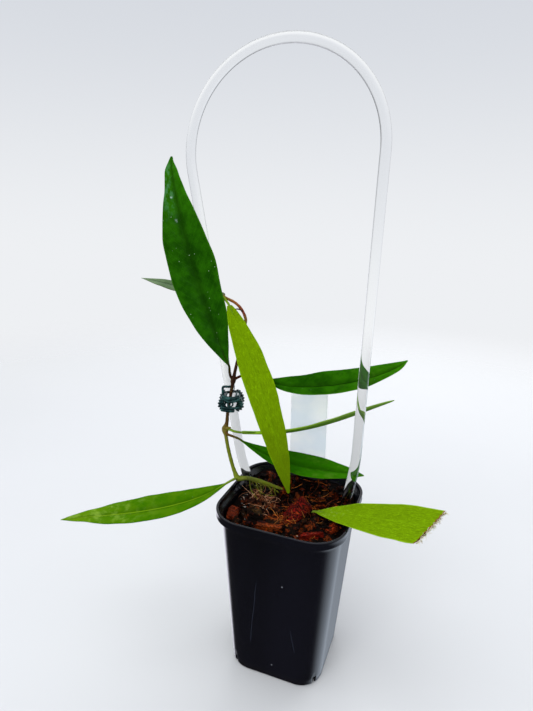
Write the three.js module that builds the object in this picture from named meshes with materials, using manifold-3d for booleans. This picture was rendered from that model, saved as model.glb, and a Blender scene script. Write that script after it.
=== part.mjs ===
// A young climbing house plant with long pointed leaves in a square black nursery pot.
// A clear bent rod stands in the growing mix as a trellis, and a small clip ties the vine to it.
// Millimetres, +Z up. The origin is the centre of the pot's underside. The vine, the leaves, the rod,
// the tag and the mix are placed from the centre of the pot's rim, RIM_HEIGHT above the origin.
import * as THREE from 'three';
import { mergeVertices } from 'three/addons/utils/BufferGeometryUtils.js';
import Module from 'manifold-3d';

const wasm = await Module();
wasm.setup();

// ---------------------------------------------------------------- driving dimensions
const RIM_HEIGHT = 98;
const CLEARANCE = 0.3;
const POT = {
  rimHalf: 35, rimCorner: 18, bandHeight: 4.4, bandWall: 1.5, lipRound: 0.6,
  wallTopHalf: 32.3, wallTopCorner: 16.5, baseHalf: 25.9, baseCorner: 12.5, heel: 1.2,
  wall: 0.8, floor: 1.6, floorChamfer: 1, cornerSteps: 5,
  slotWidth: 2.3, slotHeight: 5, slotLength: 8, slotOffset: 1.8,
};
const MIX = { level: -7.2, lump: 1.1, rings: 8, smallChips: 30, chipMargin: 5 };
const ROD = {
  radius: 2.7, sides: 10, archRadius: 51.8, archHeight: 177.3, legLean: 6.5, legLength: 147,
  footBend: 8, footBendRadius: 106, footLength: 46, lean: 5, tilt: 6.6, footShift: 0.7, standsAt: 7.5,
};
const TAG = { width: 21.5, thickness: 0.6, top: 57, bottom: -33, point: 12, round: 2.5,
  centre: -0.2, standsAt: 29, lean: 5.5, tilt: -2.5 };
const VINE = { rootRadius: 1.2, radius: 1.05, tipRadius: 0.75, sides: 7 };
const BLADE = { thickness: 0.7, keel: 0.35, keelHalf: 0.09, steps: 14, firstStep: 0.02, lastStep: 0.985 };

// ---------------------------------------------------------------- small helpers
const vec = (p) => new THREE.Vector3(...p);
const radians = THREE.MathUtils.degToRad;

/** Seeded random numbers between 0 and 1, the same on every run. */
function seededRandom(seed) {
  let state = seed;
  return () => {
    state = (state + 0x6d2b79f5) | 0;
    let t = Math.imul(state ^ (state >>> 15), 1 | state);
    t = (t + Math.imul(t ^ (t >>> 7), 61 | t)) ^ t;
    return ((t ^ (t >>> 14)) >>> 0) / 4294967296;
  };
}

/** A closed surface through rings of equal point count, with a fan over each end. */
function loft(rings) {
  const count = rings[0].length;
  const positions = [];
  rings.forEach((ring) => ring.forEach((p) => positions.push(p.x, p.y, p.z)));
  const centres = [rings[0], rings.at(-1)].map((ring) => {
    const middle = new THREE.Vector3();
    ring.forEach((p) => middle.addScaledVector(p, 1 / count));
    return middle;
  });
  centres.forEach((p) => positions.push(p.x, p.y, p.z));
  const faces = [];
  for (let r = 0; r < rings.length - 1; r += 1) {
    for (let k = 0; k < count; k += 1) {
      const a = r * count + k;
      const b = r * count + ((k + 1) % count);
      faces.push(a, b, b + count, a, b + count, a + count);
    }
  }
  const start = rings.length * count;
  const lastRing = start - count;
  for (let k = 0; k < count; k += 1) {
    const next = (k + 1) % count;
    faces.push(start, next, k, start + 1, lastRing + k, lastRing + next);
  }
  const geometry = new THREE.BufferGeometry();
  geometry.setAttribute('position', new THREE.Float32BufferAttribute(positions, 3));
  geometry.setIndex(faces);
  return geometry;
}

/** A boolean solid from a closed geometry, with its faces turned outwards. */
function solid(geometry) {
  const bare = geometry.clone();
  bare.deleteAttribute('normal');
  bare.deleteAttribute('uv');
  const merged = mergeVertices(bare, 1e-5);
  const corner = merged.getAttribute('position').array;
  const index = Uint32Array.from(merged.index.array);
  let volume = 0;
  for (let i = 0; i < index.length; i += 3) {
    const [a, b, c] = [0, 1, 2].map((k) => new THREE.Vector3().fromArray(corner, 3 * index[i + k]));
    volume += a.dot(b.cross(c));
  }
  if (volume < 0) {
    for (let i = 0; i < index.length; i += 3) [index[i], index[i + 1]] = [index[i + 1], index[i]];
  }
  return new wasm.Manifold(new wasm.Mesh({ numProp: 3, vertProperties: new Float32Array(corner), triVerts: index }));
}

/** The largest single body of a solid; loose scraps that a cut leaves are dropped. */
function largestBody(shape) {
  return shape.decompose().reduce((best, piece) => (piece.volume() > best.volume() ? piece : best));
}

const joined = (shapes) => shapes.reduce((sum, shape) => sum.add(shape));

/** A three.js mesh from a boolean solid. */
function mesh(name, shape, material) {
  const data = largestBody(shape).getMesh();
  const geometry = new THREE.BufferGeometry();
  geometry.setAttribute('position', new THREE.Float32BufferAttribute(data.vertProperties, 3));
  geometry.setIndex(Array.from(data.triVerts));
  geometry.computeVertexNormals();
  const made = new THREE.Mesh(geometry, material);
  made.name = name;
  return made;
}

/** A round tube along a smooth curve; radius(u) gives its radius at u from 0 to 1. */
function tube(curve, steps, sides, radius) {
  const frames = curve.computeFrenetFrames(steps, false);
  const rings = [];
  for (let i = 0; i <= steps; i += 1) {
    const u = i / steps;
    const centre = curve.getPointAt(u);
    rings.push(Array.from({ length: sides }, (_, k) => {
      const angle = (2 * Math.PI * k) / sides;
      return centre.clone()
        .addScaledVector(frames.normals[i], radius(u) * Math.cos(angle))
        .addScaledVector(frames.binormals[i], radius(u) * Math.sin(angle));
    }));
  }
  return solid(loft(rings));
}

const smoothTube = (points, steps, sides, radius) =>
  tube(new THREE.CatmullRomCurve3(points.map(vec), false, 'centripetal'), steps, sides, radius);

/** A level ring with the outline of a square with round corners. */
function roundedSquare(half, corner, z, steps = POT.cornerSteps) {
  const ring = [];
  for (let quarter = 0; quarter < 4; quarter += 1) {
    const middle = (quarter + 0.5) * (Math.PI / 2);
    const side = (half - corner) * Math.SQRT2;
    for (let k = 0; k <= steps; k += 1) {
      const angle = (quarter + k / steps) * (Math.PI / 2);
      ring.push(new THREE.Vector3(
        side * Math.cos(middle) + corner * Math.cos(angle),
        side * Math.sin(middle) + corner * Math.sin(angle), z));
    }
  }
  return ring;
}

// ---------------------------------------------------------------- pot
const wallSlope = (POT.wallTopHalf - POT.baseHalf) / (RIM_HEIGHT - POT.bandHeight);
const cornerSlope = (POT.wallTopCorner - POT.baseCorner) / (RIM_HEIGHT - POT.bandHeight);

/** The pot's outer wall at a height above its base, moved inwards by inset. */
const wallRing = (z, inset) =>
  roundedSquare(POT.baseHalf + wallSlope * z - inset, POT.baseCorner + cornerSlope * z - inset, z);

/** Thin moulded pot: heel, tapered wall, turned rim band, inner wall, floor and a drain slot at each corner. */
function pot() {
  const ledge = RIM_HEIGHT - POT.bandHeight;
  const band = (inset, z) => roundedSquare(POT.rimHalf - inset, POT.rimCorner - inset, z);
  const heelRing = roundedSquare(POT.baseHalf - POT.heel, POT.baseCorner - POT.heel, 0);
  const body = solid(loft([
    heelRing, wallRing(POT.heel, 0), wallRing(ledge, 0),
    band(0.3, ledge), band(0, ledge + POT.lipRound), band(0, RIM_HEIGHT - POT.lipRound),
    band(POT.lipRound, RIM_HEIGHT), band(POT.bandWall - 0.3, RIM_HEIGHT),
    band(POT.bandWall, RIM_HEIGHT - POT.lipRound), band(POT.bandWall + 0.2, ledge + 1),
    wallRing(ledge - 0.2, POT.wall), wallRing(POT.floor + POT.floorChamfer, POT.wall),
    wallRing(POT.floor, POT.wall + POT.floorChamfer),
  ]));
  const slot = new THREE.BoxGeometry(POT.slotLength, POT.slotWidth, 2 * POT.slotHeight);
  const cornerReach = (POT.baseHalf - POT.baseCorner) * Math.SQRT2 + POT.baseCorner;
  const cuts = [];
  for (let quarter = 0; quarter < 4; quarter += 1) {
    const cut = slot.clone().translate(cornerReach - 1.5, POT.slotOffset, 0);
    cut.rotateZ((quarter + 0.5) * (Math.PI / 2));
    cuts.push(solid(cut));
  }
  return body.subtract(joined(cuts));
}

// ---------------------------------------------------------------- clear trellis rod
/** The rod's centre line: a round arch on two legs that lean out, bent inwards where the pot holds them. */
class TrellisLine extends THREE.Curve {
  constructor() {
    super();
    const lean = radians(ROD.legLean);
    const foot = lean + radians(ROD.footBend);
    const half = [];
    for (let k = 0; k <= 24; k += 1) {
      const angle = THREE.MathUtils.lerp(Math.PI / 2, -lean, k / 24);
      half.push([ROD.archRadius * Math.cos(angle), ROD.archHeight + ROD.archRadius * Math.sin(angle)]);
    }
    let [x, z] = half.at(-1);
    const walk = (angle, length) => {
      x -= Math.sin(angle) * length;
      z -= Math.cos(angle) * length;
      half.push([x, z]);
    };
    for (let k = 0; k < 8; k += 1) walk(lean, ROD.legLength / 8);
    for (let k = 0; k < 5; k += 1) {
      walk(THREE.MathUtils.lerp(lean, foot, (k + 0.5) / 5), (ROD.footBendRadius * (foot - lean)) / 5);
    }
    for (let k = 0; k < 3; k += 1) walk(foot, ROD.footLength / 3);
    const outline = [...half.slice(1).reverse().map(([a, b]) => [-a, b]), ...half];
    const tilt = radians(ROD.tilt);
    const back = radians(ROD.lean);
    this.line = outline.map(([a, b]) => {
      const across = a * Math.cos(tilt) - b * Math.sin(tilt) + ROD.footShift;
      const along = a * Math.sin(tilt) + b * Math.cos(tilt);
      return new THREE.Vector3(across, ROD.standsAt + along * Math.sin(back), along * Math.cos(back));
    });
    this.reach = [0];
    for (let i = 1; i < this.line.length; i += 1) {
      this.reach.push(this.reach[i - 1] + this.line[i].distanceTo(this.line[i - 1]));
    }
  }

  getPoint(t) {
    const target = t * this.reach.at(-1);
    let i = this.reach.findIndex((value) => value >= target);
    i = Math.max(i, 1);
    const share = (target - this.reach[i - 1]) / (this.reach[i] - this.reach[i - 1]);
    return this.line[i - 1].clone().lerp(this.line[i], share);
  }
}

const trellisLine = new TrellisLine();
const trellis = (grow = 0) => tube(trellisLine, 76, ROD.sides, () => ROD.radius + grow);

// ---------------------------------------------------------------- vine
// Its joints are named from the root up; each carries one pair of leaves.
const JOINTS = {
  rim: [-32.6, 1.8, 3.2], low: [-42, 5, 30], high: [-38.4, 7.5, 59], top: [-48.5, 15, 102.5],
};
const VINE_LINE = [
  [-3, 17.5, -16], [-5.6, 15, -8], [-8.9, 12.9, -5], [-17, 9.1, -1], [-22.8, 7.2, 1], [-27.7, 3.6, 3.2],
  JOINTS.rim, [-34.8, 2.2, 6.5], [-36.6, 2.6, 10.8], [-39.4, 3.4, 19.4], [-41.3, 4.3, 27], JOINTS.low,
  [-41.2, 5.3, 34], [-40.8, 5.6, 40], [-39.1, 6.4, 52.5], JOINTS.high, [-37.8, 9, 65], [-37.3, 10.8, 70],
  [-36.2, 12.6, 79], [-34.8, 14, 88], [-34.6, 14.6, 91.7], [-37.1, 15, 96.6], [-40.8, 15.2, 99.8],
  [-45, 15.1, 101.6], JOINTS.top,
];
const AERIAL_ROOTS = [
  [[-24, 7.1, 0.4], [-21.5, 5.5, -3.5], [-17.5, 5, -5.6], [-12, 7, -6.2], [-7.5, 9.5, -7.5]],
  [[-27, 5.6, 1.6], [-25.5, 3.5, -2.5], [-22.5, 1.5, -5], [-18, 0.5, -8]],
  [[-14, 10.5, -3], [-12.5, 8.5, -5.5], [-9.5, 6, -8]],
];
const TENDRIL = [[-37.5, 15, 97], [-38.2, 14, 95.4], [-39.6, 13.6, 95], [-40.6, 13.8, 95.6]];

/** A swollen joint: a small ball, a little wider than it is tall. */
function knuckle(centre, radius, grow) {
  const ball = new THREE.SphereGeometry(radius + grow, 8, 5);
  ball.scale(1, 1, 0.85);
  ball.translate(...centre);
  return solid(ball);
}

/** The vine with its joints, aerial roots and one tendril, made thicker all over by grow. */
function vine(grow = 0) {
  const stem = smoothTube(VINE_LINE, 72, VINE.sides, (u) => (
    u < 0.3 ? THREE.MathUtils.lerp(VINE.rootRadius, VINE.radius, u / 0.3)
      : THREE.MathUtils.lerp(VINE.radius, VINE.tipRadius, (u - 0.3) / 0.7)) + grow);
  const joints = [
    knuckle(JOINTS.rim, 1.6, grow), knuckle(JOINTS.low, 1.9, grow),
    knuckle(JOINTS.high, 1.5, grow), knuckle(JOINTS.top, 1.3, grow),
    knuckle([-38.8, 4.3, 31.6], 0.9, grow), knuckle([-40.4, 4.6, 30.8], 1.2, grow),
  ];
  const roots = AERIAL_ROOTS.map((line) => smoothTube(line, 7, 5, (u) => 0.45 - 0.15 * u + grow));
  const tendril = smoothTube(TENDRIL, 6, 5, () => 0.35 + grow);
  return joined([stem, ...joints, ...roots, tendril]);
}

// ---------------------------------------------------------------- leaves
// Each blade runs along a smooth line from base to tip. face is the way its upper side looks,
// twist is how far it turns from base to tip, fold lifts its two halves, and swell and taper
// set how fast the outline widens from the base and narrows to the tip. stalk ends in the base.
const LEAVES = {
  leaf_tall_left: {
    line: [[-40, 6.5, 65.7], [-58.2, 11.4, 95], [-77, 10.3, 156], [-74.8, 10, 174]],
    width: 28.4, swell: 1.32, taper: 1.65, face: [0.01, -1, 0.06], twist: 20, fold: 10,
    stalk: [JOINTS.high, [-39.6, 6.9, 60.6], [-40.2, 6.5, 63.2]], colour: 0x1f5a1c,
  },
  leaf_hanging: {
    line: [[-42.8, 10, 100.7], [-22.2, 1.6, 65.7], [-10.7, -4, 44.5], [0.3, -6, 4.7]],
    width: 17.5, swell: 0.73, taper: 0.83, face: [-0.74, 0.52, -0.43], twist: -3, fold: -4,
    stalk: [JOINTS.top, [-47, 12.6, 102.8], [-45, 10.8, 102.2]], colour: 0x8cb416,
  },
  leaf_far_back: {
    line: [[-62, 25, 102.6], [-76, 29.5, 101], [-100, 37, 103.4], [-118, 42, 103.8]],
    width: 15, swell: 0.8, taper: 1.2, face: [0.02, -0.29, 0.96], twist: 0, fold: 6,
    stalk: [JOINTS.top, [-49.3, 18.5, 103], [-52, 22.2, 103]], colour: 0x5a7a58,
  },
  leaf_cut: {
    line: [[12.2, 0.6, -5.7], [41.2, -11, 8], [77.8, -24.2, 15.3], [102, -38, 29.8]],
    width: 24, swell: 0.84, taper: 0.67, face: [0.24, 0.2, -0.95], twist: 4, fold: -4,
    stalk: [[5, 3.2, -17], [7, 2.6, -12.5], [9.5, 1.6, -8.3]], cut: [0.63, 0.675], colour: 0x86a81a,
  },
  leaf_low_left: {
    line: [[-35.8, -4.2, 3], [-56.5, -16.5, -15.3], [-96.5, -31.5, -17.2], [-118.7, -45, -17.8]],
    width: 24.5, swell: 1.07, taper: 1.27, face: [-0.15, -0.12, 0.98], twist: 1, fold: 8,
    stalk: [JOINTS.rim, [-33.3, -0.4, 3.7], [-34.3, -2.4, 3.6]], colour: 0x3f8a1e,
  },
  leaf_edge_on: {
    line: [[-33.6, 6, 29.2], [3.6, 14.2, 31.2], [15.1, 23.5, 36.9], [46.1, 33, 52]],
    width: 21, swell: 1.3, taper: 0.95, face: [-0.35, 0.3, 0.87], twist: 0, fold: 12,
    stalk: [JOINTS.low, [-39.2, 4.6, 30.5], [-36.4, 4.8, 29.8]], colour: 0x5f9a28,
  },
  leaf_low_right: {
    line: [[-34.2, 5, 26.1], [-11.7, 11.6, 8.1], [9.1, 19.5, 9.1], [34.3, 26, 6.9]],
    width: 20.6, swell: 1.18, taper: 1.12, face: [0.29, -0.08, 0.95], twist: -11, fold: 10,
    stalk: [JOINTS.low, [-40, 3.4, 28.1], [-37.4, 3.9, 27.2]], colour: 0x2f7a1c,
  },
  leaf_high_right: {
    line: [[-23.4, 12, 60.6], [-14.5, 20.7, 48.8], [38, 27.1, 59.7], [50.1, 36, 74.3]],
    width: 25, swell: 1.18, taper: 1.1, face: [-0.11, -0.23, 0.97], twist: 0, fold: 12,
    stalk: [JOINTS.high, [-35.6, 8.1, 60.8], [-33.2, 9.4, 61.9], [-28.6, 10.8, 61.9]], colour: 0x1e661c,
  },
};

/** How wide a blade is at t, from 0 at the base to 0 at the tip, and 1 at its widest. */
function outline(t, swell, taper) {
  const widest = swell / (swell + taper);
  return (t ** swell * (1 - t) ** taper) / (widest ** swell * (1 - widest) ** taper);
}

/** A folded, keeled blade as a thin closed sheet; both faces are split into the same triangles. */
function blade({ line, width, swell, taper, face, twist, fold, cut = [1, 1] }, grow) {
  const centre = new THREE.CubicBezierCurve3(...line.map(vec));
  const looks = vec(face);
  const across = [-1, -0.55, -BLADE.keelHalf, 0, BLADE.keelHalf, 0.55, 1];
  const half = BLADE.thickness / 2 + grow;
  const upper = [];
  const lower = [];
  for (let i = 0; i <= BLADE.steps; i += 1) {
    const share = THREE.MathUtils.lerp(BLADE.firstStep, BLADE.lastStep, i / BLADE.steps);
    across.forEach((v) => {
      const t = share * THREE.MathUtils.lerp(cut[0], cut[1], (v + 1) / 2);
      const along = centre.getTangent(t);
      const up = looks.clone().addScaledVector(along, -looks.dot(along)).normalize();
      up.applyAxisAngle(along, radians(twist) * (0.5 - t));
      const side = along.clone().cross(up);
      const reach = (width / 2) * outline(t, swell, taper);
      const point = centre.getPoint(t)
        .addScaledVector(side, v * reach * Math.cos(radians(fold)))
        .addScaledVector(up, Math.abs(v) * reach * Math.sin(radians(fold)));
      const keel = v === 0 ? BLADE.keel * (1 - share) : 0;
      upper.push(point.clone().addScaledVector(up, half));
      lower.push(point.clone().addScaledVector(up, -half - keel));
    });
  }
  const columns = across.length;
  const rings = [];
  for (let i = 0; i <= BLADE.steps; i += 1) {
    const row = i * columns;
    rings.push([...upper.slice(row, row + columns), ...lower.slice(row, row + columns).reverse()]);
  }
  return solid(bladeSkin(rings, columns));
}

/** Triangles round a stack of flat rings, each an upper row and the lower row back again. */
function bladeSkin(rings, columns) {
  const count = 2 * columns;
  const faces = [];
  const mirrored = (k) => k >= columns && k < count - 1;
  for (let r = 0; r < rings.length - 1; r += 1) {
    for (let k = 0; k < count; k += 1) {
      const a = r * count + k;
      const b = r * count + ((k + 1) % count);
      if (mirrored(k)) faces.push(a, b, a + count, b, b + count, a + count);
      else faces.push(a, b, b + count, a, b + count, a + count);
    }
  }
  for (const [row, turned] of [[0, true], [rings.length - 1, false]]) {
    for (let k = 0; k < columns - 1; k += 1) {
      const [a, b, c, d] = [k, k + 1, count - 2 - k, count - 1 - k].map((n) => row * count + n);
      if (turned) faces.push(a, c, b, a, d, c);
      else faces.push(a, b, c, a, c, d);
    }
  }
  const geometry = new THREE.BufferGeometry();
  const corners = rings.flat().flatMap((p) => [p.x, p.y, p.z]);
  geometry.setAttribute('position', new THREE.Float32BufferAttribute(corners, 3));
  geometry.setIndex(faces);
  return geometry;
}

/** A leaf: its blade, fused with the stalk that carries it. */
function leaf(plan, grow = 0) {
  const centre = new THREE.CubicBezierCurve3(...plan.line.map(vec));
  const inBlade = [0.01, 0.06, 0.12].map((t) => centre.getPoint(t).toArray());
  const stalk = smoothTube([...plan.stalk, ...inBlade], 9, 6, (u) => 0.75 - 0.25 * u + grow);
  return blade(plan, grow).add(stalk);
}

// ---------------------------------------------------------------- stem clip
const CLIP = {
  height: 45.6, turn: 20.5, front: 7.9, back: -4.2, gripTop: 57, gripBottom: -55, teeth: 8, toothDepth: 1,
  reach: 6.4, band: 2.1, barRadius: 0.75, loopRadius: 0.7, ringRadius: 1.4, ringWire: 0.45,
};

/** One serrated grip of the clip: a curved band with teeth outside, as deep as the clip. */
function clipGrip(side) {
  const shape = new THREE.Shape();
  const outer = [];
  const inner = [];
  const steps = CLIP.teeth * 2;
  for (let k = 0; k <= steps; k += 1) {
    const angle = radians(THREE.MathUtils.lerp(CLIP.gripTop, CLIP.gripBottom, k / steps));
    const radius = CLIP.reach + (k % 2 ? CLIP.toothDepth : 0);
    outer.push([side * radius * Math.cos(angle), radius * Math.sin(angle)]);
    inner.push([side * (CLIP.reach - CLIP.band + 0.4) * Math.cos(angle), (CLIP.reach - CLIP.band) * Math.sin(angle)]);
  }
  [...outer, ...inner.reverse()].forEach(([x, y], k) => (k ? shape.lineTo(x, y) : shape.moveTo(x, y)));
  const depth = CLIP.front - CLIP.back - 1.6;
  const grip = new THREE.ExtrudeGeometry(shape, { depth, bevelEnabled: false, steps: 1 });
  grip.translate(0, 0, CLIP.back + 0.8);
  return solid(grip);
}

/** A bar of the clip from its left grip to its right one, hanging in the middle by sag. */
function clipBar(height, sag, forward) {
  const wide = CLIP.reach - 1.4;
  return smoothTube([[-wide, height, forward], [-wide / 2, height - 0.75 * sag, forward],
    [0, height - sag, forward], [wide / 2, height - 0.75 * sag, forward], [wide, height, forward]],
  8, 6, () => CLIP.barRadius);
}

/** One-piece sprung clip round the rod and the vine, with a finger loop at its top left. */
function stemClip() {
  const { front, back } = CLIP;
  const loopPlane = front - 2.2;
  const loop = smoothTube([[-4.1, 3.6, front - 1.2], [-4.5, 8.2, loopPlane], [-4, 8.8, loopPlane],
    [0.4, 8.8, loopPlane], [0.9, 8.2, loopPlane], [0.7, 3.2, front - 0.4]], 16, 6, () => CLIP.loopRadius);
  const ring = new THREE.TorusGeometry(CLIP.ringRadius, CLIP.ringWire, 6, 12);
  ring.translate(-0.2, -0.5, front);
  const shape = joined([
    clipGrip(-1), clipGrip(1),
    clipBar(4.4, 1.1, front - 0.2), clipBar(3.4, 2.1, front), clipBar(-2.1, 0.4, front), clipBar(-3.4, 0.7, front - 0.3),
    clipBar(3.4, 0.4, back), clipBar(-3, 0.4, back), loop, solid(ring),
  ]);
  return shape.transform(clipPlace.elements);
}

const clipPlace = (() => {
  const share = trellisLine.line.filter((p) => p.x < -30 && p.z > 0).sort((a, b) => (
    Math.abs(a.z - CLIP.height) - Math.abs(b.z - CLIP.height)));
  const [near, next] = share;
  const leg = near.clone().lerp(next, (CLIP.height - near.z) / (next.z - near.z));
  const turn = radians(CLIP.turn);
  const right = new THREE.Vector3(Math.cos(turn), Math.sin(turn), 0);
  const up = new THREE.Vector3(0, 0, 1);
  const forward = right.clone().cross(up);
  return new THREE.Matrix4().makeBasis(right, up, forward).setPosition(leg);
})();

// ---------------------------------------------------------------- plant tag
/** A thin white tag with round top corners and a point that is pushed into the mix. */
function tag(grow = 0) {
  const half = TAG.width / 2 + grow;
  const top = TAG.top + grow;
  const shape = new THREE.Shape();
  shape.moveTo(-half, TAG.bottom + TAG.point);
  shape.lineTo(-1, TAG.bottom - grow);
  shape.lineTo(1, TAG.bottom - grow);
  shape.lineTo(half, TAG.bottom + TAG.point);
  shape.lineTo(half, top - TAG.round);
  shape.absarc(half - TAG.round, top - TAG.round, TAG.round, 0, Math.PI / 2);
  shape.lineTo(-half + TAG.round, top);
  shape.absarc(-half + TAG.round, top - TAG.round, TAG.round, Math.PI / 2, Math.PI);
  const depth = TAG.thickness + 2 * grow;
  const plate = new THREE.ExtrudeGeometry(shape, { depth, bevelEnabled: false, curveSegments: 4 });
  plate.translate(0, 0, -depth / 2);
  plate.rotateZ(radians(-TAG.tilt));
  plate.rotateX(Math.PI / 2 - radians(TAG.lean));
  plate.translate(TAG.centre, TAG.standsAt, 0);
  return solid(plate);
}

// ---------------------------------------------------------------- growing mix and bark
// Large loose chips of bark on top of the mix: place, length, width, thickness, turn and tilt.
const BARK = [
  { at: [5.5, 2.2 - 7, -6.2], size: [19, 11, 3.4], turn: 62, tilt: [14, -10], colour: 0x5a1c14 },
  { at: [-4.5, -22.5, -6.4], size: [15, 9, 3.2], turn: 24, tilt: [-12, 8], colour: 0x8a4a1c },
  { at: [9, 20.5, -6.6], size: [13, 8, 3], turn: -30, tilt: [6, 10], colour: 0x8c4d22 },
  { at: [17, -20.5, -6.6], size: [14, 7, 3.2], turn: 18, tilt: [-8, -12], colour: 0x6a2a18 },
  { at: [25.6, -8.5, -6.8], size: [10, 6, 2.8], turn: 74, tilt: [4, -14], colour: 0x7a2d18 },
  { at: [-27, -17, -6.8], size: [11, 7, 3], turn: 100, tilt: [12, 0], colour: 0x7c3418 },
  { at: [-15, -12.5, -6.8], size: [12, 8, 3], turn: -48, tilt: [-8, 8], colour: 0x3a1c12 },
  { at: [-24.2, -3.5, -7.2], size: [9, 6, 2.6], turn: 15, tilt: [6, -6], colour: 0x4a2414 },
  { at: [19.5, 12, -6.8], size: [9, 6, 2.6], turn: 40, tilt: [-10, 6], colour: 0x48261a },
  { at: [-18, 22, -6.8], size: [12, 8, 2.8], turn: 150, tilt: [8, 8], colour: 0x33190f },
];

/** A split chip of bark: a slab with uneven faces, its edges drawn in by a seeded draw. */
function chip({ at, size, turn, tilt }, seed, detail = [3, 2], grow = 0) {
  const random = seededRandom(seed);
  const slab = mergeVertices(bareBox(size, detail));
  const corners = slab.getAttribute('position');
  for (let i = 0; i < corners.count; i += 1) {
    const edge = 1 - 0.16 * random() - 0.18 * Math.abs(corners.getY(i) / size[1]);
    corners.setXYZ(i, corners.getX(i) * edge, corners.getY(i) * (1 - 0.22 * random()),
      corners.getZ(i) * (1 - 0.4 * random()) + 0.08 * size[2] * (random() - 0.5));
  }
  slab.scale(...size.map((length) => (length + 2 * grow) / length));
  slab.rotateX(radians(tilt[0]));
  slab.rotateY(radians(tilt[1]));
  slab.rotateZ(radians(turn));
  slab.translate(...at);
  return solid(slab);
}

function bareBox(size, detail) {
  const box = new THREE.BoxGeometry(...size, ...detail, 1);
  box.deleteAttribute('normal');
  box.deleteAttribute('uv');
  return box;
}

/** Height of the mix at a place: low rounded lumps, a little higher towards the back. */
const mixHeight = (x, y) => MIX.level + 0.02 * y
  + MIX.lump * (0.6 * Math.sin(x / 4.7 + 1.2) * Math.cos(y / 5.3) + 0.4 * Math.sin((x + y) / 2.9));

/** The pot's inside, drawn in by clearance, up to the level of the rim. */
function potInside() {
  const floor = POT.floor + CLEARANCE;
  const inset = POT.wall + CLEARANCE;
  const rings = [
    wallRing(floor, inset + POT.floorChamfer), wallRing(floor + POT.floorChamfer, inset),
    wallRing(RIM_HEIGHT - POT.bandHeight - 0.5, inset),
  ];
  return rings.map((ring) => ring.map((p) => p.setZ(p.z - RIM_HEIGHT)));
}

/** Growing mix: fills the pot, lumpy on top, with small chips fused in and a hole for what it holds. */
function growingMix(holes) {
  const rings = potInside();
  const topRing = rings.at(-1);
  const share = (MIX.level - rings[1][0].z) / (topRing[0].z - rings[1][0].z);
  const edge = rings[1].map((p, k) => p.clone().lerp(topRing[k], share));
  const layers = [rings[0], rings[1]];
  for (let k = 0; k < MIX.rings; k += 1) {
    const scale = 1 - k / MIX.rings;
    layers.push(edge.map((p) => {
      const [x, y] = [p.x * scale, p.y * scale];
      return new THREE.Vector3(x, y, mixHeight(x, y));
    }));
  }
  const random = seededRandom(11);
  const reach = Math.abs(edge[0].x) - MIX.chipMargin;
  const small = Array.from({ length: MIX.smallChips }, (_, k) => {
    const x = (2 * random() - 1) * reach;
    const y = (2 * random() - 1) * reach;
    const long = 3.5 + 4 * random();
    return chip({
      at: [x, y, mixHeight(x, y) + 0.3 * random()], size: [long, long * (0.45 + 0.3 * random()), 2.2],
      turn: 360 * random(), tilt: [50 * (random() - 0.5), 50 * (random() - 0.5)],
    }, 100 + k, [1, 1]);
  });
  const inside = solid(loft(rings));
  const bed = solid(loft(layers)).add(joined(small)).intersect(inside);
  return largestBody(bed.subtract(joined(holes)));
}

// ---------------------------------------------------------------- assembly
const finish = (color, roughness, extra = {}) =>
  new THREE.MeshStandardMaterial({ color, roughness, metalness: 0, ...extra });

const plant = new THREE.Group();
plant.position.z = RIM_HEIGHT;

plant.add(mesh('trellis_rod', trellis(), finish(0xf2f5f7, 0.05, { transparent: true, opacity: 0.4 })));
plant.add(mesh('vine_stem', vine(), finish(0x5f6a22, 0.55)));

const wideVine = vine(CLEARANCE);
const wideRod = trellis(CLEARANCE);
for (const [name, plan] of Object.entries(LEAVES)) {
  plant.add(mesh(name, leaf(plan).subtract(wideVine), finish(plan.colour, 0.45, { side: THREE.DoubleSide })));
}
plant.add(mesh('stem_clip', stemClip().subtract(wideVine).subtract(wideRod), finish(0x1d4747, 0.4)));
plant.add(mesh('plant_tag', tag(), finish(0xdfe4ea, 0.3)));

const wideCutLeaf = leaf(LEAVES.leaf_cut, CLEARANCE);
const held = [wideVine, wideRod, wideCutLeaf, tag(CLEARANCE)];
BARK.forEach((plan, k) => {
  const number = String(k + 1).padStart(2, '0');
  const piece = held.reduce((shape, other) => shape.subtract(other), chip(plan, 40 + k));
  plant.add(mesh(`bark_chip_${number}`, piece, finish(plan.colour, 0.9)));
});
const wideBark = BARK.map((plan, k) => chip(plan, 40 + k, [3, 2], CLEARANCE));
plant.add(mesh('growing_mix', growingMix([...held, ...wideBark]), finish(0x2a1710, 0.95)));

const assembly = new THREE.Group();
assembly.add(mesh('pot', pot(), finish(0x14161a, 0.25)));
assembly.add(plant);

export default assembly;
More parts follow.
